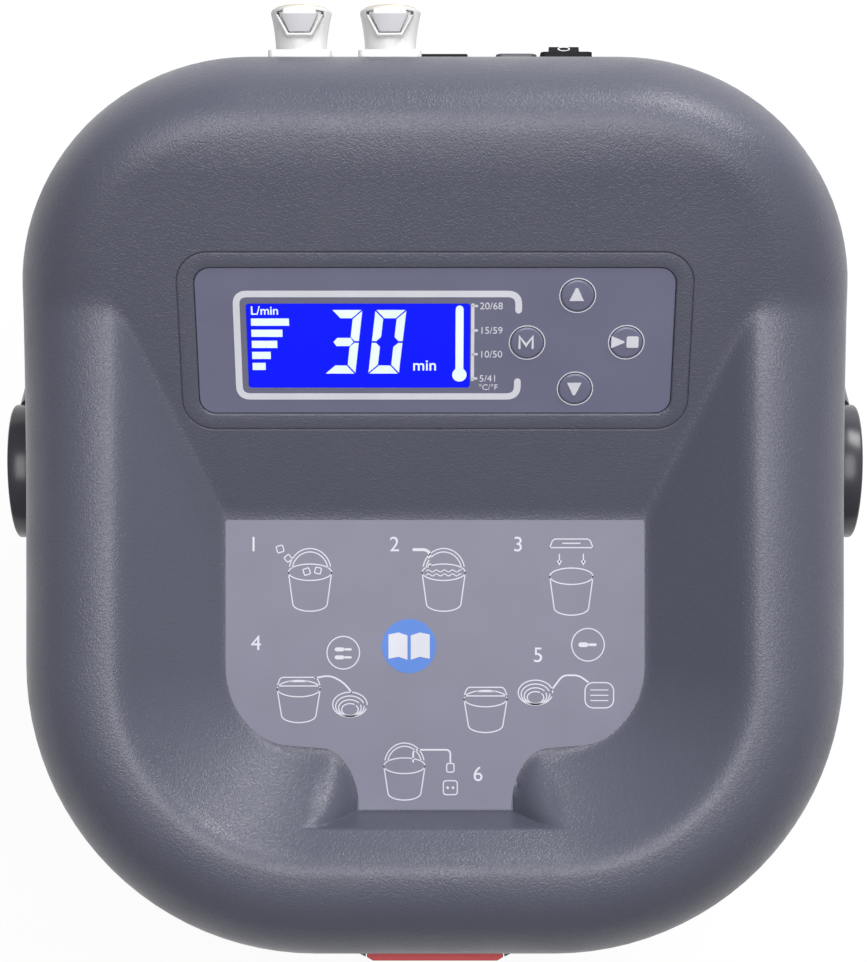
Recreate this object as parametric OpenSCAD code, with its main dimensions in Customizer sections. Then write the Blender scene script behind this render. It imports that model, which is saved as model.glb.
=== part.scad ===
// Ice-water circulating therapy unit: an insulated bucket with a carrying handle, and a lift-off lid
// that carries the control panel, the pump leg, two hose couplings and the front latch.
// Frame: origin on the surface the unit stands on, under the lid's centre. +Y is the back, +Z is up.

/* [Lid] */
// Overall width of the lid
lid_w = 245; // [235:1:260]
// Overall depth of the lid
lid_d = 269; // [260:1:290]
// Plan radius of the two back corners
back_corner_r = 69; // [64:1:72]
// Plan radius of the two front corners
front_corner_r = 87; // [82:1:90]
// Thickness of the lid's moulded wall
lid_wall = 3; // [2.5:0.25:3.5]
// Height of the lid's upright edge at the front and the sides
edge_h = 13; // [12:0.5:16]
// Extra height of the upright edge at the back
back_rise = 12; // [8:1:14]
// How far the back wall leans in over its height
back_lean = 3.2; // [1:0.2:4]
// Width of the rounded shoulder round the lid
shoulder_w = 27; // [24:1:29]
// Width of the flat rail inside the shoulder
rail_w = 4; // [2:0.5:6]
// Height of the rail above the dish floor
rail_h = 27; // [24:1:28]
// Width of the sloped wall of the dish, seen from above
dish_wall_w = 28; // [24:1:30]
// Slope of the console
console_deg = 24; // [23:0.5:26]
// Where the console meets the dish floor
fold_y = -3.5; // [-6:0.5:0]
// Half width of the finger pocket's floor
pocket_half_w = 23.5; // [20:0.5:26]
// Depth of the finger pocket beyond the dish floor
pocket_l = 19; // [15:0.5:21]

/* [Panel] */
// Width of the panel bezel
bezel_w = 148; // [142:0.5:150]
// Height of the panel bezel along the slope
bezel_h = 54.2; // [50:0.2:56]
// Width of the overlay
overlay_w = 138; // [136:0.5:140]
// Height of the overlay along the slope
overlay_h = 44.5; // [43:0.5:46]
// Where the panel's centre lies, front to back
panel_y = 47.3; // [46:0.1:50]
// Width of the display window
lcd_w = 64.5; // [60:0.5:66]
// Height of the display window
lcd_h = 25.8; // [22:0.2:27]
// Centre of the display, to the left of the panel's centre
lcd_x = -22.2; // [-24:0.1:-20]
// Radius of a button cap
button_r = 4.7; // [4:0.1:4.9]
// Travel of a button
button_travel = 0.4; // [0.3:0.05:0.45]
// Gap round the buttons, the overlay and the bezel
panel_gap = 0.25; // [0.15:0.05:0.35]

/* [Bucket] */
// Height of the bucket's rim
rim_z = 203; // [190:1:230]
// How far each side draws in from the rim to the floor
taper = 11; // [6:1:14]
// How far the rim is set back under the lid's edge
rim_set_back = 2; // [1:0.5:3]
// Wall of the outer shell
shell_wall = 3; // [2:0.5:3.5]
// Thickness of the insulation
foam_t = 10.5; // [8:0.5:12]
// Wall of the inner tank
liner_wall = 2.5; // [2:0.25:3]
// Radius of the bucket's lower edge
bottom_r = 25; // [20:1:28]
// How far the feet stand out
foot_h = 1.5; // [1:0.25:3]
// Thickness of the lid seal
seal_t = 2; // [1.5:0.25:3]
// Height of the moulded rim
rim_h = 6; // [5:0.5:8]

/* [Handle] */
// Height of the handle's pivot
pivot_z = 170; // [165:1:175]
// Where the pivot lies, front to back
pivot_y = 10.3; // [5:0.1:15]
// Distance from the pivot to the middle of the crossbar
bail_r = 185; // [180:1:195]
// Thickness of the handle's arms
arm_t = 9.5; // [9:0.5:12]
// Width of the handle's arms
arm_w = 20; // [18:0.5:22]
// Inner face of the arms, from the middle of the unit
arm_x = 127; // [126:0.5:130]
// Radius of the handle's hubs
hub_r = 21.5; // [20:0.5:23]
// Radius of the pivot studs
stud_r = 8; // [7:0.5:9]
// Radius of the grip
grip_r = 12.5; // [12:0.5:14]
// Length of the grip
grip_l = 118; // [90:1:140]

/* [Couplings] */
// Radius of the socket that takes the hose connector
socket_r = 5; // [4.5:0.1:5.2]
// Depth of the socket
socket_l = 13; // [12:0.5:14]
// Height of the rear fittings' middle
fitting_z = 219.5; // [218:0.5:221]
// Middle of the outlet coupling
outlet_x = -40.1; // [-42:0.1:-39]
// Middle of the return coupling
return_x = -13.4; // [-16:0.1:-12]
// Travel of a thumb latch
thumb_travel = 1.4; // [1:0.1:1.5]
// Travel of a valve poppet
poppet_travel = 2; // [1:0.1:2.5]

/* [Switch and inlet] */
// Middle of the power inlet
inlet_x = 24.2; // [23:0.1:26]
// Middle of the rocker switch
rocker_x = 38.8; // [38:0.1:42]
// Width of the rocker's bezel
rocker_bezel_w = 15.2; // [14:0.1:16]
// Height of the rocker's bezel
rocker_bezel_h = 21; // [20:0.5:21]
// Swing of the rocker
rocker_swing = 16; // [12:1:18]

/* [Latch] */
// Width of the front latch button
latch_w = 41; // [36:0.5:44]
// Height of the front latch button
latch_h = 9.4; // [8:0.2:10]
// How far the latch button moves in
latch_travel = 2.5; // [2:0.1:2.7]

/* [Pump] */
// Radius of the pump housing
pump_r = 21; // [20:0.5:23]
// Front to back place of the pump leg
pump_y = 62; // [58:0.5:64]
// Gap between the strainer and the tank's floor
pump_floor_gap = 3.5; // [2:0.5:8]
// Radius of the pump shaft
pump_shaft_r = 1.5; // [1.2:0.1:2]
// Running clearance of shafts and studs
running = 0.05; // [0.02:0.01:0.09]

/* [Hidden] */
$fn = 48;

eps = 0.01;
fit = 0.2;              // gap round pieces that drop into a seat
soft_gap = 0.3;         // gap between faces of pieces that move past each other

// Plan of the lid
half_w = lid_w / 2;
half_d = lid_d / 2;
back_x = half_w - back_corner_r;
back_y = half_d - back_corner_r;
front_x = half_w - front_corner_r;
front_y = front_corner_r - half_d;

// Levels of the lid
skirt_z = rim_z + seal_t;
edge_z = skirt_z + edge_h;
floor_z = edge_z;
rail_z = floor_z + rail_h;
edge_d = shoulder_w + rail_w;
dish_d = edge_d + dish_wall_w;
console_top_y = half_d - shoulder_w;
rail_y = fold_y + rail_h / tan(console_deg);
lean_h = edge_h + back_rise;
skin = 1.1 * lid_wall;  // upright thickness of the lid's sloped skin
cover_t = 3;
cover_top = skirt_z + cover_t;

// Steps of the lofts
corner_n = 10;
crease_n = 4;
crease_y = min(rail_y, back_y - 1);
side_y = concat(
    [(front_y + fold_y) / 2],
    [for (k = [0 : crease_n]) fold_y + (crease_y - fold_y) * k / crease_n]
);
side_n = len(side_y);
half_n = 2 * (corner_n + 1) + side_n;
ring_n = 2 * half_n;

function unit(v) = min(1, max(0, v));
function smooth(v) = unit(v) * unit(v) * (3 - 2 * unit(v));
function arc(x, y, r, from) =
    [for (i = [0 : corner_n]) [x + r * cos(from + 90 * i / corner_n), y + r * sin(from + 90 * i / corner_n)]];

// The lid's plan outline, drawn in by d, anticlockwise from the right end of the back right corner
function outline(d) = concat(
    arc(back_x, back_y, back_corner_r - d, 0),
    arc(-back_x, back_y, back_corner_r - d, 90),
    [for (k = [side_n - 1 : -1 : 0]) [d - half_w, side_y[k]]],
    arc(-front_x, front_y, front_corner_r - d, 180),
    arc(front_x, front_y, front_corner_r - d, 270),
    [for (y = side_y) [half_w - d, y]]
);

// Heights over the plan
function console_z(y) = floor_z + (y - fold_y) * tan(console_deg);
function crest_z(y) = max(rail_z, console_z(min(y, console_top_y)));
function wall_z(y) = edge_z + back_rise * smooth((y - fold_y) / (half_d - fold_y));
function lean(y, z) =
    back_lean * smooth((y - back_y + shoulder_w) / back_corner_r) * unit((z - skirt_z) / lean_h);
function dish_z(d, y) =
    max(console_z(min(y, console_top_y)), rail_z - rail_h * unit((d - edge_d) / dish_wall_w));
function top_z(d, y) = d < shoulder_w
    ? wall_z(y) + (crest_z(y) - wall_z(y)) * sqrt(1 - pow(1 - d / shoulder_w, 2))
    : dish_z(d, y);

// Rings of points up the lid, for its outside (wall 0) or its inside
function leaning(p, z) = [p[0], p[1] - lean(p[1], z), z];
function lid_rings(wall) = let (drop = wall > 0 ? skin : 0) concat(
    [[for (p = outline(wall)) leaning(p, skirt_z)]],
    [for (a = [0 : 15 : 90]) let (d = wall + (shoulder_w - wall) * (1 - cos(a)))
        [for (p = outline(d)) leaning(p, wall_z(p[1]) + (crest_z(p[1]) - drop - wall_z(p[1])) * sin(a))]],
    [for (k = [crease_n : -1 : 0]) let (d = dish_d - dish_wall_w * k / crease_n)
        [for (p = outline(d)) leaning(p, dish_z(d, p[1]) - drop)]]
);
function reversed(list) = [for (i = [len(list) - 1 : -1 : 0]) list[i]];

// Draw-in of the bucket's outside at height z, and of a wall inset by t from it
base_z = foot_h;
function draw_in(z) = rim_set_back + taper * (rim_z - z) / rim_z;
function flat_ring(d, z) = [for (p = outline(d)) [p[0], p[1], z]];
function bucket_rings(t, low, radius, high) = concat(
    [for (a = [90 : -18 : 0])
        flat_ring(draw_in(low + radius) + t + radius * (1 - cos(a)), low + radius * (1 - sin(a)))],
    [flat_ring(draw_in(high) + t, high)]
);

// A closed skin over a stack of rings. Its two ends are closed by strips between mirrored points.
function at(i, j) = i * ring_n + (j % ring_n);
function quad(rings, i, j) =
    let (a = at(i, j), b = at(i, j + 1), c = at(i + 1, j + 1), e = at(i + 1, j),
        inward = abs(rings[i + 1][j][0]) < abs(rings[i][j][0]))
    (rings[i][j][0] > 0) == inward ? [[a, e, b], [e, c, b]] : [[a, c, b], [a, e, c]];
function strip(i, k) = [at(i, corner_n - k + ring_n), at(i, corner_n + 1 + k),
    at(i, corner_n + 2 + k), at(i, corner_n - k - 1 + ring_n)];
function halves(q) = [[q[0], q[2], q[1]], [q[0], q[3], q[2]]];
module loft(rings) {
    last = len(rings) - 1;
    sides = [for (i = [0 : last - 1]) for (j = [0 : ring_n - 1]) for (f = quad(rings, i, j)) f];
    upper = [for (k = [0 : half_n - 2]) for (f = halves(strip(last, k))) f];
    lower = [for (k = [0 : half_n - 2]) for (f = halves(strip(0, k))) reversed(f)];
    polyhedron(points = [for (ring = rings) for (p = ring) p], faces = concat(sides, upper, lower));
}

// Small shapes
function rounded(w, h, r) = [for (q = [0 : 3]) for (i = [0 : 6])
    [((q == 0 || q == 3) ? 1 : -1) * (w / 2 - r) + r * cos(90 * q + 15 * i),
     (q < 2 ? 1 : -1) * (h / 2 - r) + r * sin(90 * q + 15 * i)]];
module slab(w, h, r, low, high) {
    translate([0, 0, low]) linear_extrude(high - low) polygon(rounded(w, h, r));
}
module plan(d, low, high) {
    translate([0, 0, low]) linear_extrude(high - low) polygon(outline(d));
}
module band(d_out, d_in, low, high) {
    difference() {
        plan(d_out, low, high);
        plan(d_in, low - 1, high + 1);
    }
}
module block(low, high) {
    translate(low) cube(high - low);
}
module disc(r, low, high) {
    translate([0, 0, low]) cylinder(h = high - low, r = r);
}
module ybar(r, low, high) {
    rotate([-90, 0, 0]) disc(r, low, high);
}
module xbar(r, low, high) {
    rotate([0, 90, 0]) disc(r, low, high);
}
module tube(r_out, r_in, low, high) {
    difference() {
        disc(r_out, low, high);
        disc(r_in, low - 1, high + 1);
    }
}
module rod(p, q, r) {
    v = q - p;
    translate(p) rotate([0, acos(v[2] / norm(v)), atan2(v[1], v[0])]) cylinder(h = norm(v), r = r);
}
module wire(points, r) {
    for (i = [0 : len(points) - 2]) rod(points[i], points[i + 1], r, $fn = 8);
}
module both_sides() {
    children();
    mirror([1, 0, 0]) children();
}
module on_console() {
    translate([0, panel_y, console_z(panel_y)]) rotate([console_deg, 0, 0]) children();
}

// ---- Bucket ----
shell_top = rim_z - rim_h;
shell_floor = base_z + shell_wall;
liner_floor = shell_floor + foam_t + 1.5;
liner_in = shell_wall + foam_t;
tank_in = liner_in + liner_wall;
tank_floor = liner_floor + liner_wall;
bucket_pale = [0.86, 0.88, 0.90];

window_w = 9;
window_low = 55;
window_high = 140;
module window_cut() {
    both_sides() block([half_w - 40, pivot_y - window_w / 2, window_low],
        [half_w, pivot_y + window_w / 2, window_high]);
}

strike_w = 30;
strike_out = half_d - rim_set_back - 1.5;
strike_in = strike_out - 9;
strike_low = rim_z - 13;
module strike_cut(gap) {
    block([-strike_w / 2 - gap, -strike_out - gap, strike_low - gap],
        [strike_w / 2 + gap, -strike_in + gap, rim_z + 1]);
}

module bucket_shell() {
    color(bucket_pale) difference() {
        loft(concat(
            bucket_rings(0, base_z, bottom_r, shell_top),
            reversed(bucket_rings(shell_wall, shell_floor, bottom_r - shell_wall, shell_top))
        ));
        window_cut();
        strike_cut(fit);
        at_feet() disc(foot_r + fit, 0, base_z + foot_sink);
    }
}

module bucket_foam() {
    color("khaki") difference() {
        loft(concat(
            bucket_rings(shell_wall + fit, shell_floor + fit, bottom_r - shell_wall, shell_top - fit),
            reversed(bucket_rings(liner_in - fit, liner_floor - fit, bottom_r - liner_in, shell_top - fit))
        ));
        window_cut();
        strike_cut(fit);
    }
}

module bucket_liner() {
    color("whitesmoke") loft(concat(
        bucket_rings(liner_in, liner_floor, bottom_r - liner_in, shell_top),
        reversed(bucket_rings(tank_in, tank_floor, bottom_r - tank_in, shell_top))
    ));
}

module bucket_rim() {
    color("gainsboro") difference() {
        band(rim_set_back, rim_set_back + tank_in, shell_top, rim_z);
        strike_cut(fit);
    }
}

module level_windows() {
    out = [for (z = [window_low + fit, window_high - fit]) [half_w - draw_in(z) + 0.6, z]];
    in = [for (z = [window_high - fit, window_low + fit]) [half_w - draw_in(z) - liner_in + soft_gap, z]];
    color([0.75, 0.88, 0.95, 0.6]) both_sides()
        translate([0, pivot_y + window_w / 2 - fit, 0]) rotate([90, 0, 0])
            linear_extrude(window_w - 2 * fit) polygon(concat(out, in));
}

foot_r = 9;
foot_x = half_w - draw_in(0) - bottom_r - foot_r - 5;
foot_y = half_d - draw_in(0) - bottom_r - foot_r - 14;
foot_sink = 1;
feet = concat([[0, 0]], [for (x = [-1, 1], y = [-1, 1]) [x * foot_x, y * foot_y]]);
module at_feet() {
    for (f = feet) translate([f[0], f[1], 0]) children();
}
module foot_pads() {
    color("dimgray") at_feet() disc(foot_r, 0, base_z + foot_sink);
}

// ---- Handle and its pivots ----
arm_out = arm_x + arm_t;
post_face = arm_x - soft_gap;
hub_floor = arm_x + 4.3;
washer_t = 1.2;
screw_head_t = 1.8;
hub_dome = 0.8;
cap_r = 13.9;
cap_seat = arm_x + 6.6;
cap_inside = hub_floor + washer_t + screw_head_t + 0.4;
function hub_face(r) = arm_out + hub_dome * (1 - pow(r / hub_r, 6));
function hub_profile(r_max) = [for (k = [0 : 10]) let (r = r_max * (1 - k / 10)) [r, hub_face(r)]];
corner_bend = 42;
wall_slope = taper / rim_z;
back_wall_y = half_d - draw_in(pivot_z);
rest_reach = back_wall_y - pivot_y + (grip_r + soft_gap) * sqrt(1 + wall_slope * wall_slope);
rest_deg = atan(wall_slope) + acos(rest_reach / (bail_r * sqrt(1 + wall_slope * wall_slope)));

module at_pivot() {
    translate([0, pivot_y, pivot_z]) children();
}

module pivot_posts() {
    boss_r = 19;
    heights = [pivot_z - boss_r - 1, pivot_z + boss_r + 1];
    wedge = concat(
        [for (z = heights) [half_w - draw_in(z), z]],
        [for (z = reversed(heights)) [post_face, z]]
    );
    color("gainsboro") both_sides() difference() {
        union() {
            intersection() {
                at_pivot() xbar(boss_r, half_w - 20, post_face);
                translate([0, pivot_y + 30, 0]) rotate([90, 0, 0]) linear_extrude(60) polygon(wedge);
            }
            at_pivot() xbar(stud_r, post_face - 1, hub_floor);
        }
        at_pivot() xbar(2.2, hub_floor - 14, hub_floor + 1);
    }
}

module pivot_screws() {
    color("silver") both_sides() at_pivot() difference() {
        union() {
            xbar(2, hub_floor - 12, hub_floor);
            xbar(10.5, hub_floor, hub_floor + washer_t);
            xbar(4, hub_floor + washer_t, hub_floor + washer_t + screw_head_t);
        }
        translate([hub_floor + washer_t + 0.8, 0, 0]) block([0, -0.5, -3], [2, 0.5, 3]);
        translate([hub_floor + washer_t + 0.8, 0, 0]) block([0, -3, -0.5], [2, 3, 0.5]);
    }
}

function bail_section() = rounded(arm_t, arm_w, arm_t / 2 - 0.5);
module hub() {
    difference() {
        rotate([0, 90, 0]) rotate_extrude() polygon(concat([[0, arm_x], [hub_r, arm_x]], hub_profile(hub_r)));
        hub_bores();
    }
}
module hub_bores() {
    xbar(stud_r + running, arm_x - 1, arm_out + 1);
    xbar(12, hub_floor - 0.2, arm_out + 1);
    xbar(cap_r + 0.1, cap_seat, arm_out + 2);
}
module bail_arm() {
    mid = arm_x + arm_t / 2;
    difference() {
        translate([mid, bail_r - corner_bend, 0]) rotate([90, 0, 0])
            linear_extrude(bail_r - corner_bend - hub_r + 4) polygon(bail_section());
        hub_bores();
    }
    translate([mid - corner_bend, bail_r - corner_bend, 0]) rotate_extrude(angle = 90)
        translate([corner_bend, 0]) polygon(bail_section());
}
module handle_bail() {
    bar = arm_x + arm_t / 2 - corner_bend;
    color([0.33, 0.34, 0.38]) at_pivot() rotate([-rest_deg, 0, 0]) {
        both_sides() {
            hub();
            bail_arm();
        }
        translate([-bar, bail_r, 0]) rotate([90, 0, 90]) linear_extrude(2 * bar) polygon(bail_section());
    }
}

module handle_grip() {
    color([0.20, 0.20, 0.22]) at_pivot() rotate([-rest_deg, 0, 0]) translate([-grip_l / 2, bail_r, 0])
        rotate([90, 0, 90]) difference() {
            linear_extrude(grip_l) circle(grip_r);
            translate([0, 0, -1]) linear_extrude(grip_l + 2)
                polygon(rounded(arm_t + 0.2, arm_w + 0.2, arm_t / 2 - 0.4));
        }
}

module hub_caps() {
    seat_w = 3;
    color([0.36, 0.37, 0.41]) both_sides() at_pivot() rotate([0, 90, 0]) rotate_extrude() polygon(concat(
        [[0, cap_inside], [cap_r - seat_w, cap_inside], [cap_r - seat_w, cap_seat], [cap_r, cap_seat]],
        hub_profile(cap_r)
    ));
}

// ---- Strike and catch on the bucket ----
lip_depth = 0.9;
module front_strike() {
    wall = 1.2;
    color("silver") difference() {
        strike_cut(0);
        block([-strike_w, -half_d, rim_z], [strike_w, 0, rim_z + 2]);
        block([-strike_w / 2 + 2.5, -strike_out + wall, strike_low + wall],
            [strike_w / 2 - 2.5, -strike_in - 1, rim_z - 3.5]);
        block([-strike_w / 2 + 2.5, -strike_out + wall + lip_depth, rim_z - 4],
            [strike_w / 2 - 2.5, -strike_in - 1, rim_z + 2]);
    }
}

catch_w = 83;
catch_h = 25;
catch_y = half_d + 3.1;
tongue_w = 20;
tongue_in = half_d - 1.4;
tongue_out = half_d + 3;
module rear_catch() {
    low = rim_z - catch_h;
    high = rim_z - 0.5;
    rim_y = half_d - rim_set_back;
    profile = [
        [half_d - draw_in(low), low], [half_d - draw_in(shell_top), shell_top],
        [rim_y, shell_top], [rim_y, high], [catch_y, high], [catch_y, low]
    ];
    color("gainsboro") difference() {
        translate([-catch_w / 2, 0, 0]) rotate([90, 0, 90]) linear_extrude(catch_w) polygon(profile);
        block([-tongue_w / 2 - 0.5, tongue_in - soft_gap, rim_z - 14],
            [tongue_w / 2 + 0.5, catch_y + 1, rim_z + 1]);
    }
}

// ---- Lid ----
fitting_face = half_d - back_lean + 0.1;
pocket_y = -(half_d - dish_d);
pocket_flare = 0.57;
module pocket_shape(wall) {
    low = floor_z - wall;
    high = rail_z + 20;
    foot = pocket_half_w + 1.15 * wall;
    head = foot + (high - low) * pocket_flare;
    translate([0, pocket_y + 5, 0]) rotate([90, 0, 0]) linear_extrude(pocket_l + 5 + wall)
        polygon([[-foot, low], [foot, low], [head, high], [-head, high]]);
}

boss_d = shoulder_w + rail_w / 2;
bosses = [
    [half_w - boss_d, front_y + 8], [half_w - boss_d, back_y - 16],
    [front_x, boss_d - half_d], [back_x, half_d - boss_d]
];
module at_bosses() {
    both_sides() for (b = bosses) translate([b[0], b[1], 0]) children();
}
boss_r = 4;
screw_r = 1.5;

latch_z = edge_z - 4;
latch_low = latch_z - latch_h / 2;
latch_high = latch_z + latch_h / 2;
latch_face = half_d + 2.7;
housing_w = latch_w + 5;
housing_low = cover_top + fit;
housing_high = latch_high + 1.5;
housing_back = half_d - 15.5;

module lid_solid() {
    loft(lid_rings(0));
}

module lid_top_shell() {
    fitting_low = cover_top + 0.5;
    fitting_high = fitting_z + rocker_bezel_h / 2 + 0.5;
    inside_y = fitting_face - 11;
    recess_x = coupler_flange_r - outlet_x + 2.5;
    color([0.45, 0.45, 0.50]) difference() {
        union() {
            loft(concat(reversed(lid_rings(lid_wall)), lid_rings(0)));
            intersection() {
                lid_solid();
                union() {
                    pocket_shape(lid_wall);
                    block([-back_x, fitting_face - lid_wall, fitting_low],
                        [back_x, half_d, fitting_high + 2]);
                }
            }
            both_sides() for (b = bosses) translate([b[0], b[1], 0])
                disc(boss_r, cover_top + fit, top_z(boss_d, b[1]) - 0.75 * lid_wall);
        }
        pocket_shape(0);
        on_console() slab(bezel_w + 2 * panel_gap, bezel_h + 2 * panel_gap, 9 + panel_gap, -16, 16);
        block([-recess_x, fitting_face, fitting_low], [recess_x, half_d + 2, fitting_high]);
        for (x = [outlet_x, return_x]) translate([x, 0, fitting_z])
            ybar(thread_r + fit, inside_y, half_d + 2);
        translate([inlet_x, 0, fitting_z]) ybar(inlet_thread_r + fit, inside_y, half_d + 2);
        translate([rocker_x, 0, fitting_z])
            block([-rocker_body_w / 2 - fit, inside_y, -rocker_body_h / 2 - fit],
                [rocker_body_w / 2 + fit, half_d + 2, rocker_body_h / 2 + fit]);
        block([-tongue_w / 2 - fit, inside_y, skirt_z - 1], [tongue_w / 2 + fit, half_d + 2, hook_top + fit]);
        block([-housing_w / 2 - fit, -half_d - 2, housing_low - fit],
            [housing_w / 2 + fit, -housing_back - 1, housing_high + fit]);
        at_bosses() disc(screw_r + 0.1, cover_top, cover_top + 12);
    }
}

seal_d = rim_set_back + 11;
seal_w = 4;
plug_d = rim_set_back + tank_in + 2;
plug_t = 3;
plug_h = 15;
stem_r = 14;
stem_in = 11.5;
cover_d = lid_wall + fit + back_lean * cover_t / lean_h;
tube_r = 4.5;
tube_y = pump_y + pump_r + 5;
probe_x = 20;
hook_leg_y = -(half_d - 6.5);
hook_leg_t = 2;
module lid_bottom_cover() {
    color([0.80, 0.81, 0.83]) difference() {
        union() {
            plan(cover_d, skirt_z, cover_top);
            band(plug_d, plug_d + plug_t, skirt_z - plug_h, skirt_z + eps);
        }
        for (x = [outlet_x, return_x]) translate([x, tube_y, 0])
            disc(tube_r + fit, skirt_z - 1, cover_top + 1);
        translate([outlet_x, pump_y, 0]) disc(5, skirt_z - 1, cover_top + 1);
        translate([probe_x, tube_y, 0]) disc(probe_r + fit, skirt_z - 1, cover_top + 1);
        block([-11, hook_leg_y - 1.5, skirt_z - 1],
            [11, hook_leg_y + hook_leg_t + latch_travel + 0.5, cover_top + 1]);
        at_bosses() {
            disc(screw_r + fit, skirt_z - 1, cover_top + 1);
            disc(3.4, skirt_z - 1, skirt_z + 1.2);
        }
    }
}

module lid_seal() {
    color("darkgray") band(seal_d, seal_d + seal_w, rim_z, skirt_z);
}

module lid_screws() {
    color("silver") at_bosses() difference() {
        union() {
            disc(3.2, skirt_z - 0.9, skirt_z + 1.2);
            disc(screw_r, skirt_z + 1.2, cover_top + 11);
        }
        block([-0.4, -2.2, skirt_z - 1], [0.4, 2.2, skirt_z]);
        block([-2.2, -0.4, skirt_z - 1], [2.2, 0.4, skirt_z]);
    }
}

coupler_flange_r = 9.4;
hook_top = fitting_z - coupler_flange_r - 0.9;
module rear_hook() {
    root_y = half_d - lid_wall;
    color([0.12, 0.12, 0.13]) {
        block([-tongue_w / 2, tongue_in, rim_z - 12], [tongue_w / 2, tongue_out, hook_top]);
        block([-tongue_w / 2, root_y, skirt_z + fit], [tongue_w / 2, tongue_in + eps, hook_top]);
        block([-tongue_w / 2, root_y - 5.5, cover_top + fit], [tongue_w / 2, root_y + eps, hook_top]);
    }
}

module label_film() {
    tail = pocket_half_w - 0.5;
    color([0.60, 0.60, 0.69]) translate([0, 0, floor_z]) linear_extrude(0.3) intersection() {
        union() {
            polygon(outline(dish_d + 0.4));
            translate([-tail, pocket_y - pocket_l + 2.2]) square([2 * tail, pocket_l + 10]);
        }
        translate([-half_w, -half_d]) square([lid_w, half_d + fold_y - 1.2]);
    }
}

// ---- Panel, measured along the console's slope, with its outer face at 0 ----
bezel_t = 6;
flange_top = -skin;
overlay_t = 1;
overlay_top = -0.5;
overlay_low = overlay_top - overlay_t;
module_w = lcd_w + 3.7;
module_h = lcd_h + 4.4;
board_top = -8;
board_t = 1.6;
switch_top = board_top + 1.4;
plunger_top = switch_top + 0.4;
button_row = 14.35;     // between the middles of neighbouring buttons
start_at = [bezel_w / 2 - 18.5, -0.2];
up_at = start_at + [-button_row - 0.15, button_row - 0.05];
down_at = start_at + [-button_row - 0.15, -button_row - 0.05];
mode_at = start_at + [-2 * button_row - 0.1, -0.1];
button_at = [mode_at, up_at, down_at, start_at];
post_x = overlay_w / 2 - 5;
post_y = overlay_h / 2 - 4.25;
post_at = [[-post_x, post_y], [-post_x, -post_y], [post_x, post_y], [post_x, -post_y]];
flange_r = button_r + 0.9;

module at_buttons() {
    on_console() for (b = button_at) translate([b[0], b[1], 0]) children();
}
module at_posts() {
    on_console() for (p = post_at) translate([p[0], p[1], 0]) children();
}

module panel_bezel() {
    color([0.44, 0.44, 0.50]) {
        difference() {
            on_console() {
                slab(bezel_w, bezel_h, 9, -bezel_t, 0);
                slab(bezel_w + 4, bezel_h + 4, 10, -bezel_t, flange_top);
            }
            on_console()
                slab(overlay_w + 2 * panel_gap, overlay_h + 2 * panel_gap, 4.5 + panel_gap, overlay_low, 1);
            on_console() translate([lcd_x, -1.4, 0]) slab(module_w + 0.4, module_h + 0.4, 1, -bezel_t - 1, 1);
            at_buttons() disc(flange_r + 0.3, -bezel_t - 1, 1);
        }
        at_posts() tube(2.6, 1.1, board_top, -bezel_t + eps);
    }
}

module panel_overlay() {
    color([0.49, 0.49, 0.59]) difference() {
        on_console() slab(overlay_w, overlay_h, 4.5, overlay_low, overlay_top);
        on_console() translate([lcd_x, -1.4, 0]) slab(lcd_w + 0.2, lcd_h + 0.2, 1, -3, 1);
        at_buttons() disc(button_r + panel_gap, -3, 1);
    }
}

module lcd_window() {
    color([0.05, 0.10, 0.90, 0.7]) on_console() translate([lcd_x, -1.4, 0])
        slab(lcd_w, lcd_h, 0.9, overlay_low, overlay_top);
}

module lcd_module() {
    color([0.02, 0.08, 0.75]) on_console() translate([lcd_x, -1.4, 0])
        slab(module_w, module_h, 0.8, board_top, overlay_low - 0.1);
}

module control_board() {
    color("darkgreen") {
        difference() {
            on_console() slab(overlay_w - 4, overlay_h - 1.5, 2, board_top - board_t, board_top);
            at_posts() disc(1.2, board_top - 3, board_top + 1);
        }
        on_console() {
            block([-40, -8, board_top - board_t - 2.2], [-28, 4, board_top - board_t]);
            block([8, -12, board_top - board_t - 1.6], [16, -7, board_top - board_t]);
            block([27, 6, board_top - board_t - 5], [37, 11, board_top - board_t]);
            translate([-10, 10, 0]) disc(3, board_top - board_t - 7, board_top - board_t);
        }
    }
}

module tact_switches() {
    color("black") at_buttons() {
        block([-3, -3, board_top], [3, 3, switch_top]);
        disc(1.7, switch_top, plunger_top);
    }
}

module board_screws() {
    color("silver") at_posts() {
        disc(2.2, board_top - board_t - 1.4, board_top - board_t);
        disc(1, board_top - board_t, -bezel_t - 0.4);
    }
}

module button(place) {
    dome = 0.5;
    stem_r = 2.4;
    stem_low = plunger_top + button_travel + 0.1;
    color([0.55, 0.56, 0.66]) on_console() translate([place[0], place[1], 0]) rotate_extrude() polygon([
        [0, stem_low], [stem_r, stem_low], [stem_r, overlay_low - 1.1],
        [flange_r, overlay_low - 1.1], [flange_r, overlay_low - 0.1], [button_r, overlay_low - 0.1],
        [button_r, overlay_top + dome * 0.4], [button_r - 0.5, overlay_top + dome],
        [0, overlay_top + dome * 1.4]
    ]);
}
module button_mode() {
    button(mode_at);
}
module button_up() {
    button(up_at);
}
module button_down() {
    button(down_at);
}
module button_start() {
    button(start_at);
}

// ---- Rear fittings, measured from their own middle along +Y ----
rocker_body_w = 12.6;
rocker_body_h = 18.6;
rocker_axis = fitting_face + 0.4;
rocker_r = 7.3;
paddle_w = 9.1;
bezel_out = fitting_face + 2.4;
inlet_thread_r = 5.4;
jack_w = 12.2;
jack_out = 2.8;
thread_r = 6.3;

module at_rocker() {
    translate([rocker_x, 0, fitting_z]) children();
}

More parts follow.
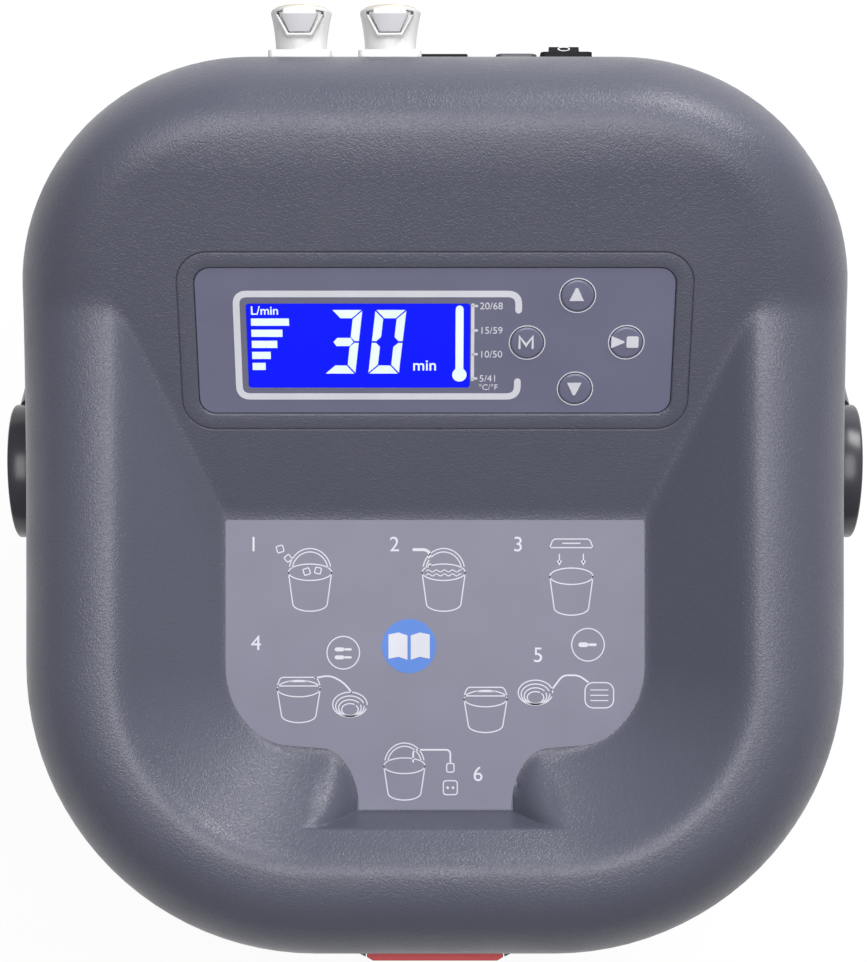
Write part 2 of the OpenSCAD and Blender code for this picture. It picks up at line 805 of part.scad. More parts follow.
module rocker_frame() {
    inside_h = rocker_r + soft_gap;
    color([0.06, 0.06, 0.07]) at_rocker() difference() {
        union() {
            translate([0, fitting_face, 0]) rotate([-90, 0, 0])
                slab(rocker_bezel_w, rocker_bezel_h, 1.5, 0, bezel_out - fitting_face);
            block([-rocker_body_w / 2, fitting_face - 14, -rocker_body_h / 2],
                [rocker_body_w / 2, fitting_face + eps, rocker_body_h / 2]);
        }
        block([-paddle_w / 2 - 0.25, fitting_face - 9, -inside_h],
            [paddle_w / 2 + 0.25, half_d + 9, inside_h]);
        translate([0, rocker_axis, 0]) xbar(1.2 + running, -rocker_body_w / 2 + 0.6, rocker_body_w / 2 - 0.6);
    }
}

module rocker_paddle() {
    peak = 4.4;
    color([0.08, 0.08, 0.09]) at_rocker() translate([0, rocker_axis, 0]) {
        rotate([rocker_swing / 2, 0, 0]) intersection() {
            xbar(rocker_r, -paddle_w / 2, paddle_w / 2);
            rotate([90, 0, 90]) translate([0, 0, -paddle_w / 2]) linear_extrude(paddle_w) polygon([
                [-3.5, -3], [-3.5, 3], [0.5, 8], [peak + 1.1, 8], [peak, 0], [peak + 1.1, -8], [0.5, -8]
            ]);
        }
        xbar(1.2, -rocker_body_w / 2 + 0.8, rocker_body_w / 2 - 0.8);
    }
}

module power_jack() {
    color([0.55, 0.55, 0.58]) translate([inlet_x, 0, fitting_z]) {
        difference() {
            union() {
                translate([0, fitting_face, 0]) rotate([-90, 0, 0]) slab(jack_w, jack_w, 2, 0, jack_out);
                ybar(inlet_thread_r, fitting_face - 12, fitting_face + 1);
                ybar(7.2, fitting_face - lid_wall - 3, fitting_face - lid_wall);
            }
            ybar(2.75, fitting_face - 5.6, fitting_face + 9);
        }
        ybar(1, fitting_face - 6, fitting_face + jack_out - 1);
    }
}

module power_wires() {
    from = fitting_face - 14;
    board_at = panel_y + 10;
    under = console_z(board_at) - (board_t - board_top + 0.4) / cos(console_deg);
    color("black") {
        wire([[rocker_x, from, fitting_z], [rocker_x, board_at + 20, fitting_z],
            [rocker_x + 4, board_at, fitting_z + 6], [rocker_x + 4, board_at, under]], 1.4);
        wire([[inlet_x, fitting_face - 12, fitting_z], [inlet_x, board_at + 22, fitting_z],
            [inlet_x - 4, board_at, fitting_z + 6], [inlet_x - 4, board_at, under]], 1.4);
    }
}

// ---- Couplings ----
flange_out = fitting_face + 2.6;
coupler_l = 17;
tip_y = fitting_face + coupler_l;
collar_from = tip_y - 4.4;
neck_r = 7.6;
collar_r = 9.15;
barb_r = 3;
barb_from = fitting_face - 21;
seat_y = tip_y - socket_l;
flow_r = 3.6;
thumb_y = collar_from + 1;
thumb_t = 1.6;
thumb_w = 12.3;
thumb_l = 7.3;
thumb_z = collar_r + 0.25;
thumb_low = 6.8;
body_profile = concat(
    [[0, flange_out - eps], [neck_r, flange_out - eps]],
    [for (p = [[12.9, 0], [9.4, 0.1], [6.4, 0.4], [3.9, 0.8], [2.1, 1], [1, 0.97]])
        [neck_r + (collar_r - neck_r) * p[1], tip_y - p[0]]],
    [[collar_r - 0.95, tip_y], [0, tip_y]]
);

module coupler(x) {
    color("white") translate([x, 0, fitting_z]) difference() {
        union() {
            ybar(coupler_flange_r, fitting_face, flange_out);
            rotate([-90, 0, 0]) rotate_extrude() polygon(body_profile);
            ybar(thread_r, fitting_face - 10, fitting_face + eps);
            ybar(barb_r, barb_from, fitting_face - 10 + eps);
            for (k = [0 : 1]) translate([0, barb_from + 2 + 3 * k, 0]) rotate([-90, 0, 0])
                cylinder(h = 1.6, r1 = barb_r, r2 = barb_r + 0.15);
        }
        ybar(socket_r, seat_y, tip_y + 1);
        ybar(flow_r, fitting_face - 8.5, seat_y + eps);
        ybar(2, barb_from - 1, fitting_face - 8);
        block([-thumb_w / 2 - fit, thumb_y - 0.1, -thumb_low - thumb_travel - fit],
            [thumb_w / 2 + fit, thumb_y + thumb_t + 0.1, 12]);
        block([-thumb_w / 2 - fit, thumb_y - thumb_l - fit, thumb_z - thumb_travel - 0.55],
            [thumb_w / 2 + fit, thumb_y + 1, 12]);
    }
}
module outlet_coupler() {
    coupler(outlet_x);
}
module return_coupler() {
    coupler(return_x);
}

module coupler_nuts() {
    nut_t = 4.2;
    color("white") for (x = [outlet_x, return_x]) translate([x, 0, fitting_z]) difference() {
        rotate([-90, 0, 0]) translate([0, 0, fitting_face - lid_wall - nut_t])
            cylinder(h = nut_t, r = 9.6, $fn = 6);
        ybar(thread_r + running, fitting_face - 12, fitting_face);
    }
}

module thumb_latch(x) {
    narrow = 6;
    color([0.72, 0.72, 0.74]) translate([x, 0, fitting_z]) {
        difference() {
            block([-thumb_w / 2, thumb_y, -thumb_low], [thumb_w / 2, thumb_y + thumb_t, thumb_z + 1.4]);
            translate([0, 0, 1]) ybar(socket_r + 1, thumb_y - 1, thumb_y + thumb_t + 1);
        }
        translate([0, 0, thumb_z]) linear_extrude(1.4) polygon([
            [-narrow / 2, thumb_y - thumb_l], [narrow / 2, thumb_y - thumb_l],
            [thumb_w / 2, thumb_y + eps], [-thumb_w / 2, thumb_y + eps]
        ]);
    }
}
module outlet_thumb_latch() {
    thumb_latch(outlet_x);
}
module return_thumb_latch() {
    thumb_latch(return_x);
}

module poppet(x) {
    low = fitting_face - 8.4 + poppet_travel + 1;
    color("white") translate([x, 0, fitting_z]) difference() {
        ybar(flow_r - running, low, seat_y);
        for (a = [0 : 90 : 270]) rotate([0, a, 0]) block([2, low - 1, -0.7], [5, seat_y - 3, 0.7]);
    }
}
module outlet_poppet() {
    poppet(outlet_x);
}
module return_poppet() {
    poppet(return_x);
}

// ---- Front latch ----
module latch_housing() {
    cavity_w = latch_w + 2 * soft_gap;
    cheek_out = 1.1;
    cheek = [
        [cavity_w / 2, eps - half_d], [cavity_w / 2, -half_d - cheek_out], [housing_w / 2, eps - half_d]
    ];
    color([0.42, 0.42, 0.47]) {
        difference() {
            block([-housing_w / 2, -half_d, housing_low], [housing_w / 2, -housing_back, housing_high]);
            block([-cavity_w / 2, -half_d - 1, latch_low - soft_gap],
                [cavity_w / 2, -housing_back - 1.5, latch_high + soft_gap]);
            block([-11, hook_leg_y - 1.5, housing_low - 1],
                [11, hook_leg_y + hook_leg_t + latch_travel + 0.5, latch_low]);
        }
        both_sides() translate([0, 0, housing_low]) linear_extrude(housing_high - housing_low) polygon(cheek);
    }
}

module latch_button() {
    face_t = 5;
    nose = 1.8;
    lip_y = -(strike_out - 1.2 - lip_depth);
    face_plan = [for (side = [-1, 1]) for (p = [[0, face_t], [0, 0.6 * nose], [nose, 0]])
        [side * (latch_w / 2 - p[0]), p[1] - latch_face]];
    face_order = [0, 1, 2, 5, 4, 3];
    color([0.75, 0.22, 0.24]) {
        translate([0, 0, latch_low]) linear_extrude(latch_h) polygon([for (i = face_order) face_plan[i]]);
        block([-9, -latch_face + face_t - eps, latch_z - 2.5], [9, hook_leg_y + eps, latch_z + 2.5]);
        block([-10, hook_leg_y, rim_z - 10], [10, hook_leg_y + hook_leg_t, latch_z + 2.5]);
        block([-10, lip_y + soft_gap, rim_z - 9], [10, hook_leg_y + eps, rim_z - 5]);
    }
}

// ---- Hoses and tubes ----
bend_r = 9;
hose_r = 5;
hose_in = 3.3;
hose_from = barb_from + 8;
barb_top = cover_top + 5;
module hose_path(r) {
    low = fitting_z - bend_r;
    ybar(r, tube_y + bend_r, hose_from);
    translate([0, tube_y + bend_r, -bend_r]) rotate([180, 0, 0]) rotate([0, 90, 0]) rotate_extrude(angle = 90)
        translate([bend_r, 0]) circle(r);
    translate([0, tube_y, 0]) disc(r, cover_top + 0.3 - fitting_z, -bend_r + eps);
}
module hoses() {
    color("lightgray") for (x = [outlet_x, return_x]) translate([x, 0, fitting_z]) difference() {
        hose_path(hose_r);
        hose_path(hose_in);
        ybar(hose_in, hose_from - 1, hose_from + 1);
        translate([0, tube_y, 0]) disc(hose_in, cover_top - 1 - fitting_z, cover_top + 1 - fitting_z);
    }
}

pump_x = outlet_x;
strainer_low = tank_floor + pump_floor_gap;
strainer_high = strainer_low + 8.5;
cover_high = strainer_high + 3;
chamber_high = cover_high + 7;
bulkhead_high = chamber_high + 3;
motor_high = bulkhead_high + 17;
housing_top = motor_high + 3;

port_high = cover_high + 13;
module spigot(high) {
    difference() {
        disc(barb_r, cover_top - eps, high);
        disc(2, cover_top - 1, high + 1);
    }
}
module discharge_tube() {
    color("gainsboro") translate([pump_x, tube_y, 0]) {
        tube(tube_r, 3, cover_high + 6, cover_top - 1);
        tube(tube_r, 2, cover_top - 1 - eps, cover_top);
        spigot(barb_top);
    }
}
return_low = 150;
module return_tube() {
    color("gainsboro") translate([return_x, tube_y, 0]) {
        tube(tube_r, 3, return_low, cover_top - 1);
        tube(tube_r, 2, cover_top - 1 - eps, cover_top);
        spigot(barb_top);
    }
}

sensor_wall = 3.5;
module flow_sensor() {
    side = 2 * (tube_r + sensor_wall);
    color("black") translate([return_x, tube_y, 0]) difference() {
        slab(side + 3, side, 2, skirt_z - 13, skirt_z);
        disc(tube_r + running, skirt_z - 14, skirt_z + 1);
    }
}

probe_r = 3;
probe_low = 70;
module temp_probe() {
    color("silver") translate([probe_x, tube_y, 0]) {
        disc(probe_r, probe_low, cover_top + 4);
        translate([0, 0, probe_low]) sphere(probe_r);
        disc(probe_r + 2, skirt_z - 2.5, skirt_z);
    }
}

// ---- Pump ----
module at_pump() {
    translate([pump_x, pump_y, 0]) children();
}

module pump_stem() {
    color("gainsboro") at_pump() {
        tube(stem_r, stem_in, housing_top, skirt_z);
        tube(stem_r + 3, stem_in, skirt_z - 3, skirt_z);
    }
}

motor_r = pump_r - 3;
module pump_housing() {
    color("gainsboro") at_pump() difference() {
        union() {
            disc(pump_r, cover_high, housing_top);
            translate([0, tube_y - pump_y, 0]) disc(tube_r + 2, cover_high, port_high);
            block([-5, 0, cover_high], [5, tube_y - pump_y, port_high]);
        }
        disc(pump_r - 4.5, cover_high - 1, chamber_high);
        disc(motor_r, bulkhead_high, motor_high + eps);
        disc(stem_in - 1, motor_high, housing_top + 1);
        disc(pump_shaft_r + running, chamber_high - 1, bulkhead_high + 1);
        ybar_at(cover_high + 3.5);
        translate([0, tube_y - pump_y, 0]) {
            disc(3, cover_high + 3, cover_high + 7);
            disc(tube_r + running, cover_high + 6, port_high + 1);
        }
    }
}
module ybar_at(z) {
    translate([0, 0, z]) ybar(2, 0, tube_y - pump_y);
}

module pump_motor() {
    color("silver") at_pump() difference() {
        union() {
            disc(motor_r - 0.2, bulkhead_high, motor_high - 0.3);
            disc(4, motor_high - 0.4, motor_high + 4);
        }
        disc(pump_shaft_r + running, bulkhead_high - 1, bulkhead_high + 9);
    }
}

module pump_impeller() {
    blade_r = pump_r - 6;
    color("ivory") at_pump() {
        disc(5, cover_high + 0.8, chamber_high - 0.8);
        disc(blade_r, chamber_high - 1.8, chamber_high - 0.8);
        disc(pump_shaft_r, chamber_high - 1, bulkhead_high + 8);
        for (a = [0 : 60 : 300]) rotate([0, 0, a])
            block([4, -0.6, cover_high + 0.8], [blade_r - 0.3, 0.6, chamber_high - 1.7]);
    }
}

module pump_cover() {
    color("gainsboro") at_pump() tube(pump_r, 6, strainer_high, cover_high);
}

module strainer() {
    wall = 2;
    color("dimgray") at_pump() difference() {
        disc(pump_r, strainer_low, strainer_high);
        disc(pump_r - wall, strainer_low + wall, strainer_high + 1);
        for (a = [0 : 20 : 340]) rotate([0, 0, a])
            block([pump_r - 6, -1.2, strainer_low + wall], [pump_r + 1, 1.2, strainer_high - 1.5]);
        for (k = [-3 : 3])
            block([k * 4.6 - 1, -12, strainer_low - 1], [k * 4.6 + 1, 12, strainer_low + wall + 1]);
    }
}

module pump_wires() {
    board_at = panel_y + 10;
    under = console_z(board_at) - (board_t - board_top + 0.4) / cos(console_deg);
    color("gray") wire([[pump_x, pump_y, motor_high + 4], [pump_x, pump_y, cover_top + 8],
        [pump_x, board_at, cover_top + 14], [pump_x, board_at, under]], 1.6);
}

bucket_shell();
bucket_foam();
bucket_liner();
bucket_rim();
level_windows();
foot_pads();
pivot_posts();
pivot_screws();
front_strike();
rear_catch();
handle_bail();
handle_grip();
hub_caps();
lid_top_shell();
lid_bottom_cover();
lid_seal();
lid_screws();
rear_hook();
panel_bezel();
panel_overlay();
lcd_window();
lcd_module();
control_board();
tact_switches();
board_screws();
label_film();
button_mode();
button_up();
button_down();
button_start();
rocker_frame();
rocker_paddle();
power_jack();
power_wires();
outlet_coupler();
return_coupler();
coupler_nuts();
outlet_thumb_latch();
return_thumb_latch();
outlet_poppet();
return_poppet();
latch_housing();
latch_button();
hoses();
discharge_tube();
return_tube();
flow_sensor();
temp_probe();
pump_stem();
pump_housing();
pump_motor();
pump_impeller();
pump_cover();
strainer();
pump_wires();
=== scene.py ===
# Looks for the ice-water circulating therapy unit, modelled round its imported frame.
# Shapes are worked out in millimetres in the frame's own axes and become metres in piece().
from math import acos, asin, atan, atan2, ceil, cos, degrees, hypot, pi, radians, sin, sqrt, tan

import bmesh
import bpy
from mathutils import Matrix, Vector
from mathutils.geometry import delaunay_2d_cdt

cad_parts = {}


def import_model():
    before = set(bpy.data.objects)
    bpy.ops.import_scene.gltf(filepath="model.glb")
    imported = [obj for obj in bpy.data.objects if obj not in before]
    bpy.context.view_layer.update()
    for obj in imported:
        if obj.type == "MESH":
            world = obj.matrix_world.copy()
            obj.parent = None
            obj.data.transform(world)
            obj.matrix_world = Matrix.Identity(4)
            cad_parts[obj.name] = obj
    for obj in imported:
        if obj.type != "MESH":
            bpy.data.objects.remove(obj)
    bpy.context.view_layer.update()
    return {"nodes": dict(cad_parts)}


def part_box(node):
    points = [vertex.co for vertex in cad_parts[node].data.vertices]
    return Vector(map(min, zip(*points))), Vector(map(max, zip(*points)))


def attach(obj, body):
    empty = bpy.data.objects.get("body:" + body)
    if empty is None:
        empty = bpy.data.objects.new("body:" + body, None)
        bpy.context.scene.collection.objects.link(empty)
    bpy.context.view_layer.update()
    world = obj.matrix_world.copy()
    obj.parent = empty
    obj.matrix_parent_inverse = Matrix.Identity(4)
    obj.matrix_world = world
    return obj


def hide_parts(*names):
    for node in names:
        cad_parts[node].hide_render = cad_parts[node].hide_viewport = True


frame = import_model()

MM = 0.001
# Points closer than this, in millimetres, are one point
WELD = 0.002


def box_mm(node):
    low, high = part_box(node)
    return low / MM, high / MM


# ---- Sizes, in millimetres -------------------------------------------------------------------
# Lid: its plan and corners, then its section from the skirt over the shoulder to the dish and console
lid_low, lid_high = box_mm("lid_top_shell")
HALF_W = lid_high.x
HALF_D = -lid_low.y
BACK_R = 69
FRONT_R = 87
BACK_X = HALF_W - BACK_R
BACK_Y = HALF_D - BACK_R
FRONT_X = HALF_W - FRONT_R
FRONT_Y = FRONT_R - HALF_D
SKIRT_Z = lid_low.z
FLOOR_Z = box_mm("label_film")[0].z
RAIL_H = 27
RAIL_Z = FLOOR_Z + RAIL_H
SHOULDER = 27
RAIL_W = 4
DISH_WALL = 28
BACK_RISE = 12
BACK_LEAN = 3.2
LEAN_H = 25
CONSOLE = radians(24)
FOLD_Y = -3.5
CONSOLE_TOP = HALF_D - SHOULDER
LID_WALL = 3

# Finger pocket at the front of the dish; FLARE is how far its side walls lean out as they rise by one
STEM_W = 23.5
STEM_FLARE = 11
STEM_FROM = -74.5
STEM_TO = -92
POCKET_WALL = -92.3
POCKET_END = -94.5
POCKET_H = RAIL_H * 0.66
FLARE = 0.57

# Panel, along the console's slope
PANEL_Y = 47.3
BEZEL = (148, 54.2, 9)
OVERLAY = (138, 44.5, 4.5)
OVERLAY_TOP = -0.5
GAP = 0.25
BUTTONS = {"mode": (26.7, -0.3), "up": (41, 14.1), "down": (41, -14.6), "start": (55.5, -0.2)}

# Bucket
RIM_Z = box_mm("bucket_rim")[1].z
SHELL_TOP = box_mm("bucket_rim")[0].z
BASE_Z = box_mm("bucket_shell")[0].z
RIM_SET_BACK = 2
TAPER = 11
BOTTOM_R = 25
SHELL_WALL = 3
LINER_IN = 13.5
LINER_WALL = 2.5

# Handle
PIVOT = Vector((0, 10.3, 170))
ARM_X = 127
ARM_T = 9.5
ARM_W = 20
ARM_SPREAD = 0.75
# The hubs' faces: their rise over the arm, slope towards it, setback and crown
HUB_RISE = 0.8
HUB_TAPER = 0.047
HUB_DROP = 1.2
HUB_CROWN = 0.6
HUB_R = 21.5
BAIL_R = 185
CORNER_BEND = 42
GRIP_R = 12.5
GRIP_L = 118

# Rear fittings
FITTING_Y = HALF_D - BACK_LEAN + 0.1
FITTING_Z = 219.5
COUPLERS = {"outlet": -40.1, "return": -13.4}
COUPLER_L = 17
FLANGE_R = 9.4
RECESS_X = FLANGE_R - COUPLERS["outlet"] + 2.5
RECESS_LOW = SKIRT_Z + 3.5
HOOK_HALF = 10.2
HOOK_TOP = FITTING_Z - FLANGE_R - 0.7
NOTCH_HALF = 23.2
NOTCH_LOW = SKIRT_Z + 3
NOTCH_HIGH = FLOOR_Z + 2.4
ROCKER_X = 38.8


# ---- Small maths -----------------------------------------------------------------------------
def unit(v):
    return min(1, max(0, v))


def smooth(v):
    return unit(v) ** 2 * (3 - 2 * unit(v))


def lerp(a, b, t):
    return a + (b - a) * t


def soft_max(a, b, k):
    return max(a, b) + max(k - abs(a - b), 0) ** 2 / (4 * k)


def soft_min(a, b, k):
    return -soft_max(-a, -b, k)


def arc_points(x, y, rx, ry, start, end, steps):
    """Points on an ellipse's arc, from start to end in degrees."""
    angles = [radians(lerp(start, end, i / steps)) for i in range(steps + 1)]
    return [(x + rx * cos(a), y + ry * sin(a)) for a in angles]


# ---- Materials -------------------------------------------------------------------------------
def add_node(tree, kind, inputs=(), **settings):
    """A node with its settings, whose inputs take values or other nodes' sockets."""
    made = tree.nodes.new(kind)
    for name, value in settings.items():
        setattr(made, name, value)
    for name, value in dict(inputs).items():
        if isinstance(value, bpy.types.NodeSocket):
            tree.links.new(value, made.inputs[name])
        else:
            made.inputs[name].default_value = value
    return made


class Shader:
    """A Principled material whose colour, roughness and bump come from noise in the frame's axes."""

    def __init__(self, name, colour, roughness, **sockets):
        self.material = bpy.data.materials.new(name)
        self.material.use_nodes = True
        self.tree = self.material.node_tree
        self.bsdf = self.tree.nodes["Principled BSDF"]
        self.bsdf.inputs["Base Color"].default_value = (*colour, 1)
        self.bsdf.inputs["Roughness"].default_value = roughness
        for socket, value in sockets.items():
            self.bsdf.inputs[socket.replace("_", " ")].default_value = value
        self.colour = colour
        self.roughness = roughness
        self.where = self.node("ShaderNodeTexCoord", "Object")

    def node(self, kind, output, inputs=(), **settings):
        """A new node's output."""
        return add_node(self.tree, kind, inputs, **settings).outputs[output]

    def drive(self, socket, source):
        self.tree.links.new(source, self.bsdf.inputs[socket])
        return self

    def noise(self, per_mm, detail=3, distortion=0.0, stretch=(1, 1, 1)):
        """Noise of about per_mm features a millimetre."""
        where = self.node("ShaderNodeMapping", "Vector", {"Vector": self.where, "Scale": stretch})
        return self.node("ShaderNodeTexNoise", "Fac", {
            "Vector": where, "Scale": per_mm / MM, "Detail": detail, "Distortion": distortion})

    def spread(self, source, low, high):
        """Noise drawn out to the range from low to high."""
        return self.node("ShaderNodeMapRange", "Result", {
            "Value": source, "From Min": 0.3, "From Max": 0.7, "To Min": low, "To Max": high})

    def mottle(self, per_mm, amount):
        """Lets the colour wander by amount, as a share of it."""
        darker = [c * (1 - amount) for c in self.colour]
        lighter = [min(1, c * (1 + amount)) for c in self.colour]
        return self.drive("Base Color", self.node("ShaderNodeMix", "Result", {
            "Factor": self.spread(self.noise(per_mm), 0, 1), "A": (*darker, 1), "B": (*lighter, 1)},
            data_type="RGBA"))

    def sheen_patches(self, per_mm, amount):
        """Lets the roughness wander by amount."""
        low, high = self.roughness - amount, self.roughness + amount
        return self.drive("Roughness", self.spread(self.noise(per_mm), low, high))

    def bump(self, height, strength, distance):
        return self.drive("Normal", self.node("ShaderNodeBump", "Normal", {
            "Height": height, "Strength": strength, "Distance": distance * MM}))

    def leather(self, creases_per_mm, strength, distance):
        """Moulded leather grain: wandering creases over finer pebbles."""
        def sums(operation, *values):
            return self.node("ShaderNodeMath", "Value", dict(enumerate(values)), operation=operation)
        crease = sums("ABSOLUTE", sums("SUBTRACT", self.noise(creases_per_mm, 1, 0.4), 0.5))
        deep = sums("MINIMUM", crease, 0.09)
        return self.bump(sums("MULTIPLY_ADD", deep, 5, self.noise(1.9, 1)), strength, distance)


def lid_plastic():
    shader = Shader("lid_plastic", (0.112, 0.116, 0.154), 0.35)
    return shader.sheen_patches(0.05, 0.05).leather(0.85, 0.6, 0.14).material


def satin(name, colour, roughness, grain=0.12, per_mm=1.6, **sockets):
    shader = Shader(name, colour, roughness, **sockets)
    shader.mottle(0.06, 0.04)
    return shader.bump(shader.noise(per_mm, 2), grain, 0.08).material


def brushed(name, colour, roughness):
    shader = Shader(name, colour, roughness, Metallic=1.0)
    shader.mottle(0.2, 0.08)
    return shader.bump(shader.noise(3, 3, 0, (0.08, 1, 1)), 0.15, 0.05).material


def glowing(name, colour, strength, roughness=0.25):
    shader = Shader(name, colour, roughness, Emission_Color=(*colour, 1), Emission_Strength=strength)
    return shader.mottle(0.08, 0.06).material


LID = lid_plastic()
FILM = satin("overlay_film", (0.185, 0.187, 0.278), 0.36, 0.05)
CAP = satin("button_caps", (0.185, 0.187, 0.278), 0.34, 0.04)
INK = satin("white_ink", (0.80, 0.80, 0.86), 0.45, 0.03)
LABEL = satin("label_film", (0.190, 0.189, 0.262), 0.40, 0.07, 0.5)
LABEL_INK = satin("label_ink", (0.70, 0.70, 0.78), 0.45, 0.03)
LABEL_BLUE = satin("label_blue", (0.055, 0.20, 0.66), 0.4, 0.03)
DISPLAY = glowing("display_blue", (0.0, 0.004, 0.74), 0.72, 0.35)
SEGMENT = glowing("display_segments", (0.82, 0.95, 0.90), 0.25)
PALE = satin("bucket_plastic", (0.62, 0.64, 0.67), 0.42, 0.16)
TANK = satin("tank_plastic", (0.74, 0.75, 0.77), 0.34, 0.06)
FOAM = satin("insulation", (0.80, 0.72, 0.50), 0.9, 0.6, 0.7)
CLEAR = satin("level_window", (0.42, 0.56, 0.66), 0.12, 0.03, Transmission_Weight=0.35)
HANDLE = satin("handle_plastic", (0.062, 0.062, 0.074), 0.27, 0.05, 1.2)
RUBBER = satin("grip_rubber", (0.032, 0.032, 0.036), 0.62, 0.35, 2.0)
SEAL = satin("seal_rubber", (0.11, 0.11, 0.12), 0.7, 0.2)
STEEL = brushed("plated_steel", (0.62, 0.62, 0.64), 0.3)
WHITE = satin("coupler_plastic", (0.80, 0.80, 0.79), 0.32, 0.05)
GREY_TAB = satin("thumb_tab", (0.50, 0.50, 0.52), 0.35, 0.06)
BLACK = satin("black_plastic", (0.012, 0.012, 0.015), 0.55, 0.12, Specular_IOR_Level=0.15)
COLLAR = satin("inlet_collar", (0.085, 0.085, 0.10), 0.35, 0.1)
RED = satin("latch_red", (0.7, 0.075, 0.086), 0.34, 0.08)
HOSE = satin("milky_hose", (0.60, 0.64, 0.66), 0.3, 0.05, Transmission_Weight=0.3)
BOARD = satin("circuit_board", (0.01, 0.13, 0.04), 0.3, 0.08)
WIRE = satin("wire_jacket", (0.02, 0.02, 0.022), 0.45, 0.06)
BEIGE = satin("coupler_ring", (0.62, 0.55, 0.38), 0.3, 0.05)


# ---- Mesh helpers ----------------------------------------------------------------------------
def in_scene(name, data):
    made = bpy.data.objects.new(name, data)
    bpy.context.scene.collection.objects.link(made)
    return made


def metre_mesh(name, verts, faces):
    """A mesh from points in millimetres."""
    mesh = bpy.data.meshes.new(name)
    mesh.from_pydata([Vector(v) * MM for v in verts], [], faces)
    return mesh


def piece(name, verts, faces, material, body, replaces=(), slot=None, at=None, sharp=32):
    """A mesh piece from points in millimetres, riding on a body and standing for CAD nodes."""
    mesh = metre_mesh(name, [at @ Vector(v) for v in verts] if at else verts, faces)
    work = bmesh.new()
    work.from_mesh(mesh)
    bmesh.ops.remove_doubles(work, verts=work.verts, dist=WELD * MM)
    bmesh.ops.recalc_face_normals(work, faces=work.faces)
    work.to_mesh(mesh)
    work.free()
    mesh.materials.append(material)
    mesh.shade_smooth()
    mesh.set_sharp_from_angle(angle=radians(sharp))
    made = in_scene(name, mesh)
    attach(made, body)
    if replaces:
        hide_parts(*replaces)
    return made


def loft(rings, capped=True, cyclic=False):
    """Quads over rings of equally many points, with flat ends, or round in a closed loop."""
    count = len(rings[0])
    verts = [p for ring in rings for p in ring]
    last = len(rings) if cyclic else len(rings) - 1
    faces = []
    for i in range(last):
        a, b = i * count, (i + 1) % len(rings) * count
        faces += [(a + j, a + (j + 1) % count, b + (j + 1) % count, b + j) for j in range(count)]
    if capped and not cyclic:
        faces.append(tuple(reversed(range(count))))
        faces.append(tuple(range(last * count, (last + 1) * count)))
    return verts, faces


def lathe(profile, axis, steps, cyclic=False):
    """Turns (radius, distance along the axis) points round the X or Y axis."""
    turns = [2 * pi * i / steps for i in range(steps)]
    place = {
        "X": lambda r, h, a: (h, r * cos(a), r * sin(a)),
        "Y": lambda r, h, a: (r * cos(a), h, r * sin(a)),
    }[axis]
    return loft([[place(r, h, a) for a in turns] for r, h in profile], True, cyclic)


def prism(points, low, high):
    """A flat plate over an outline, as points in its own plane."""
    return loft([[(x, y, z) for x, y in points] for z in (low, high)])


def merged(*shapes):
    verts, faces = [], []
    for shape_verts, shape_faces in shapes:
        base = len(verts)
        verts += list(shape_verts)
        faces += [tuple(base + i for i in face) for face in shape_faces]
    return verts, faces


def mirrored(shape):
    return [(-v[0], v[1], v[2]) for v in shape[0]], [tuple(reversed(f)) for f in shape[1]]


def block(low, high):
    x, y, z = zip(low, high)
    verts = [(x[i], y[j], z[k]) for i in (0, 1) for j in (0, 1) for k in (0, 1)]
    faces = [(0, 1, 3, 2), (4, 6, 7, 5), (0, 4, 5, 1), (2, 3, 7, 6), (0, 2, 6, 4), (1, 5, 7, 3)]
    return verts, faces


def round_corners(corners, arc_steps, sides):
    """Points round an outline of four round corners (x, y, radius), anticlockwise from its right side.

    sides holds the shares of each straight side's length at which it has points.
    """
    points = []
    for k, (x, y, r) in enumerate(corners):
        arc = arc_points(x, y, r, r, 90 * k, 90 * k + 90, arc_steps)
        next_x, next_y, next_r = corners[(k + 1) % 4]
        turn = radians(90 * k + 90)
        ahead = (next_x + next_r * cos(turn), next_y + next_r * sin(turn))
        points += arc + [(lerp(arc[-1][0], ahead[0], t), lerp(arc[-1][1], ahead[1], t)) for t in sides[k]]
    return points


def rounded(w, h, r, corner=8, side=1):
    """Points round a rounded rectangle."""
    x, y = w / 2 - r, h / 2 - r
    corners = [(x, y, r), (-x, y, r), (-x, -y, r), (x, -y, r)]
    return round_corners(corners, corner, [[i / side for i in range(1, side)]] * 4)


def soften(obj, width):
    """Rounds a piece's hard edges by width millimetres."""
    weld = obj.modifiers.new("weld", "WELD")
    weld.merge_threshold = WELD * MM
    flat = obj.modifiers.new("flat", "DECIMATE")
    flat.decimate_type = "DISSOLVE"
    flat.angle_limit = radians(0.6)
    bevel = obj.modifiers.new("bevel", "BEVEL")
    bevel.width = width * MM
    bevel.segments = 3
    bevel.limit_method = "ANGLE"
    bevel.angle_limit = radians(40)
    bevel.harden_normals = True


def dress(material, *names, edge=0):
    """Gives CAD nodes their finish, and rounds their hard edges by edge millimetres."""
    for name in names:
        node = frame["nodes"][name]
        for slot in node.material_slots:
            slot.material = material
        if edge:
            normals = node.data.attributes.get("custom_normal")
            if normals:
                node.data.attributes.remove(normals)
            node.data.shade_smooth()
            soften(node, edge)


# ---- The lid's shape -------------------------------------------------------------------------
# Points on each corner and each side of the lid's outline, and the grid inside it
ARC_STEPS = 24
SIDE_STEPS = 36
GRID = 1.3
FINE_GRID = 0.28
# The bezel's opening: its rounded lip, and where rows of points lie round it, in lip radii
LIP_R = 0.3
LIP_LOOPS = (0, 0.06, 0.2, 0.45, 1, 1.5, 2.6, 4.4)


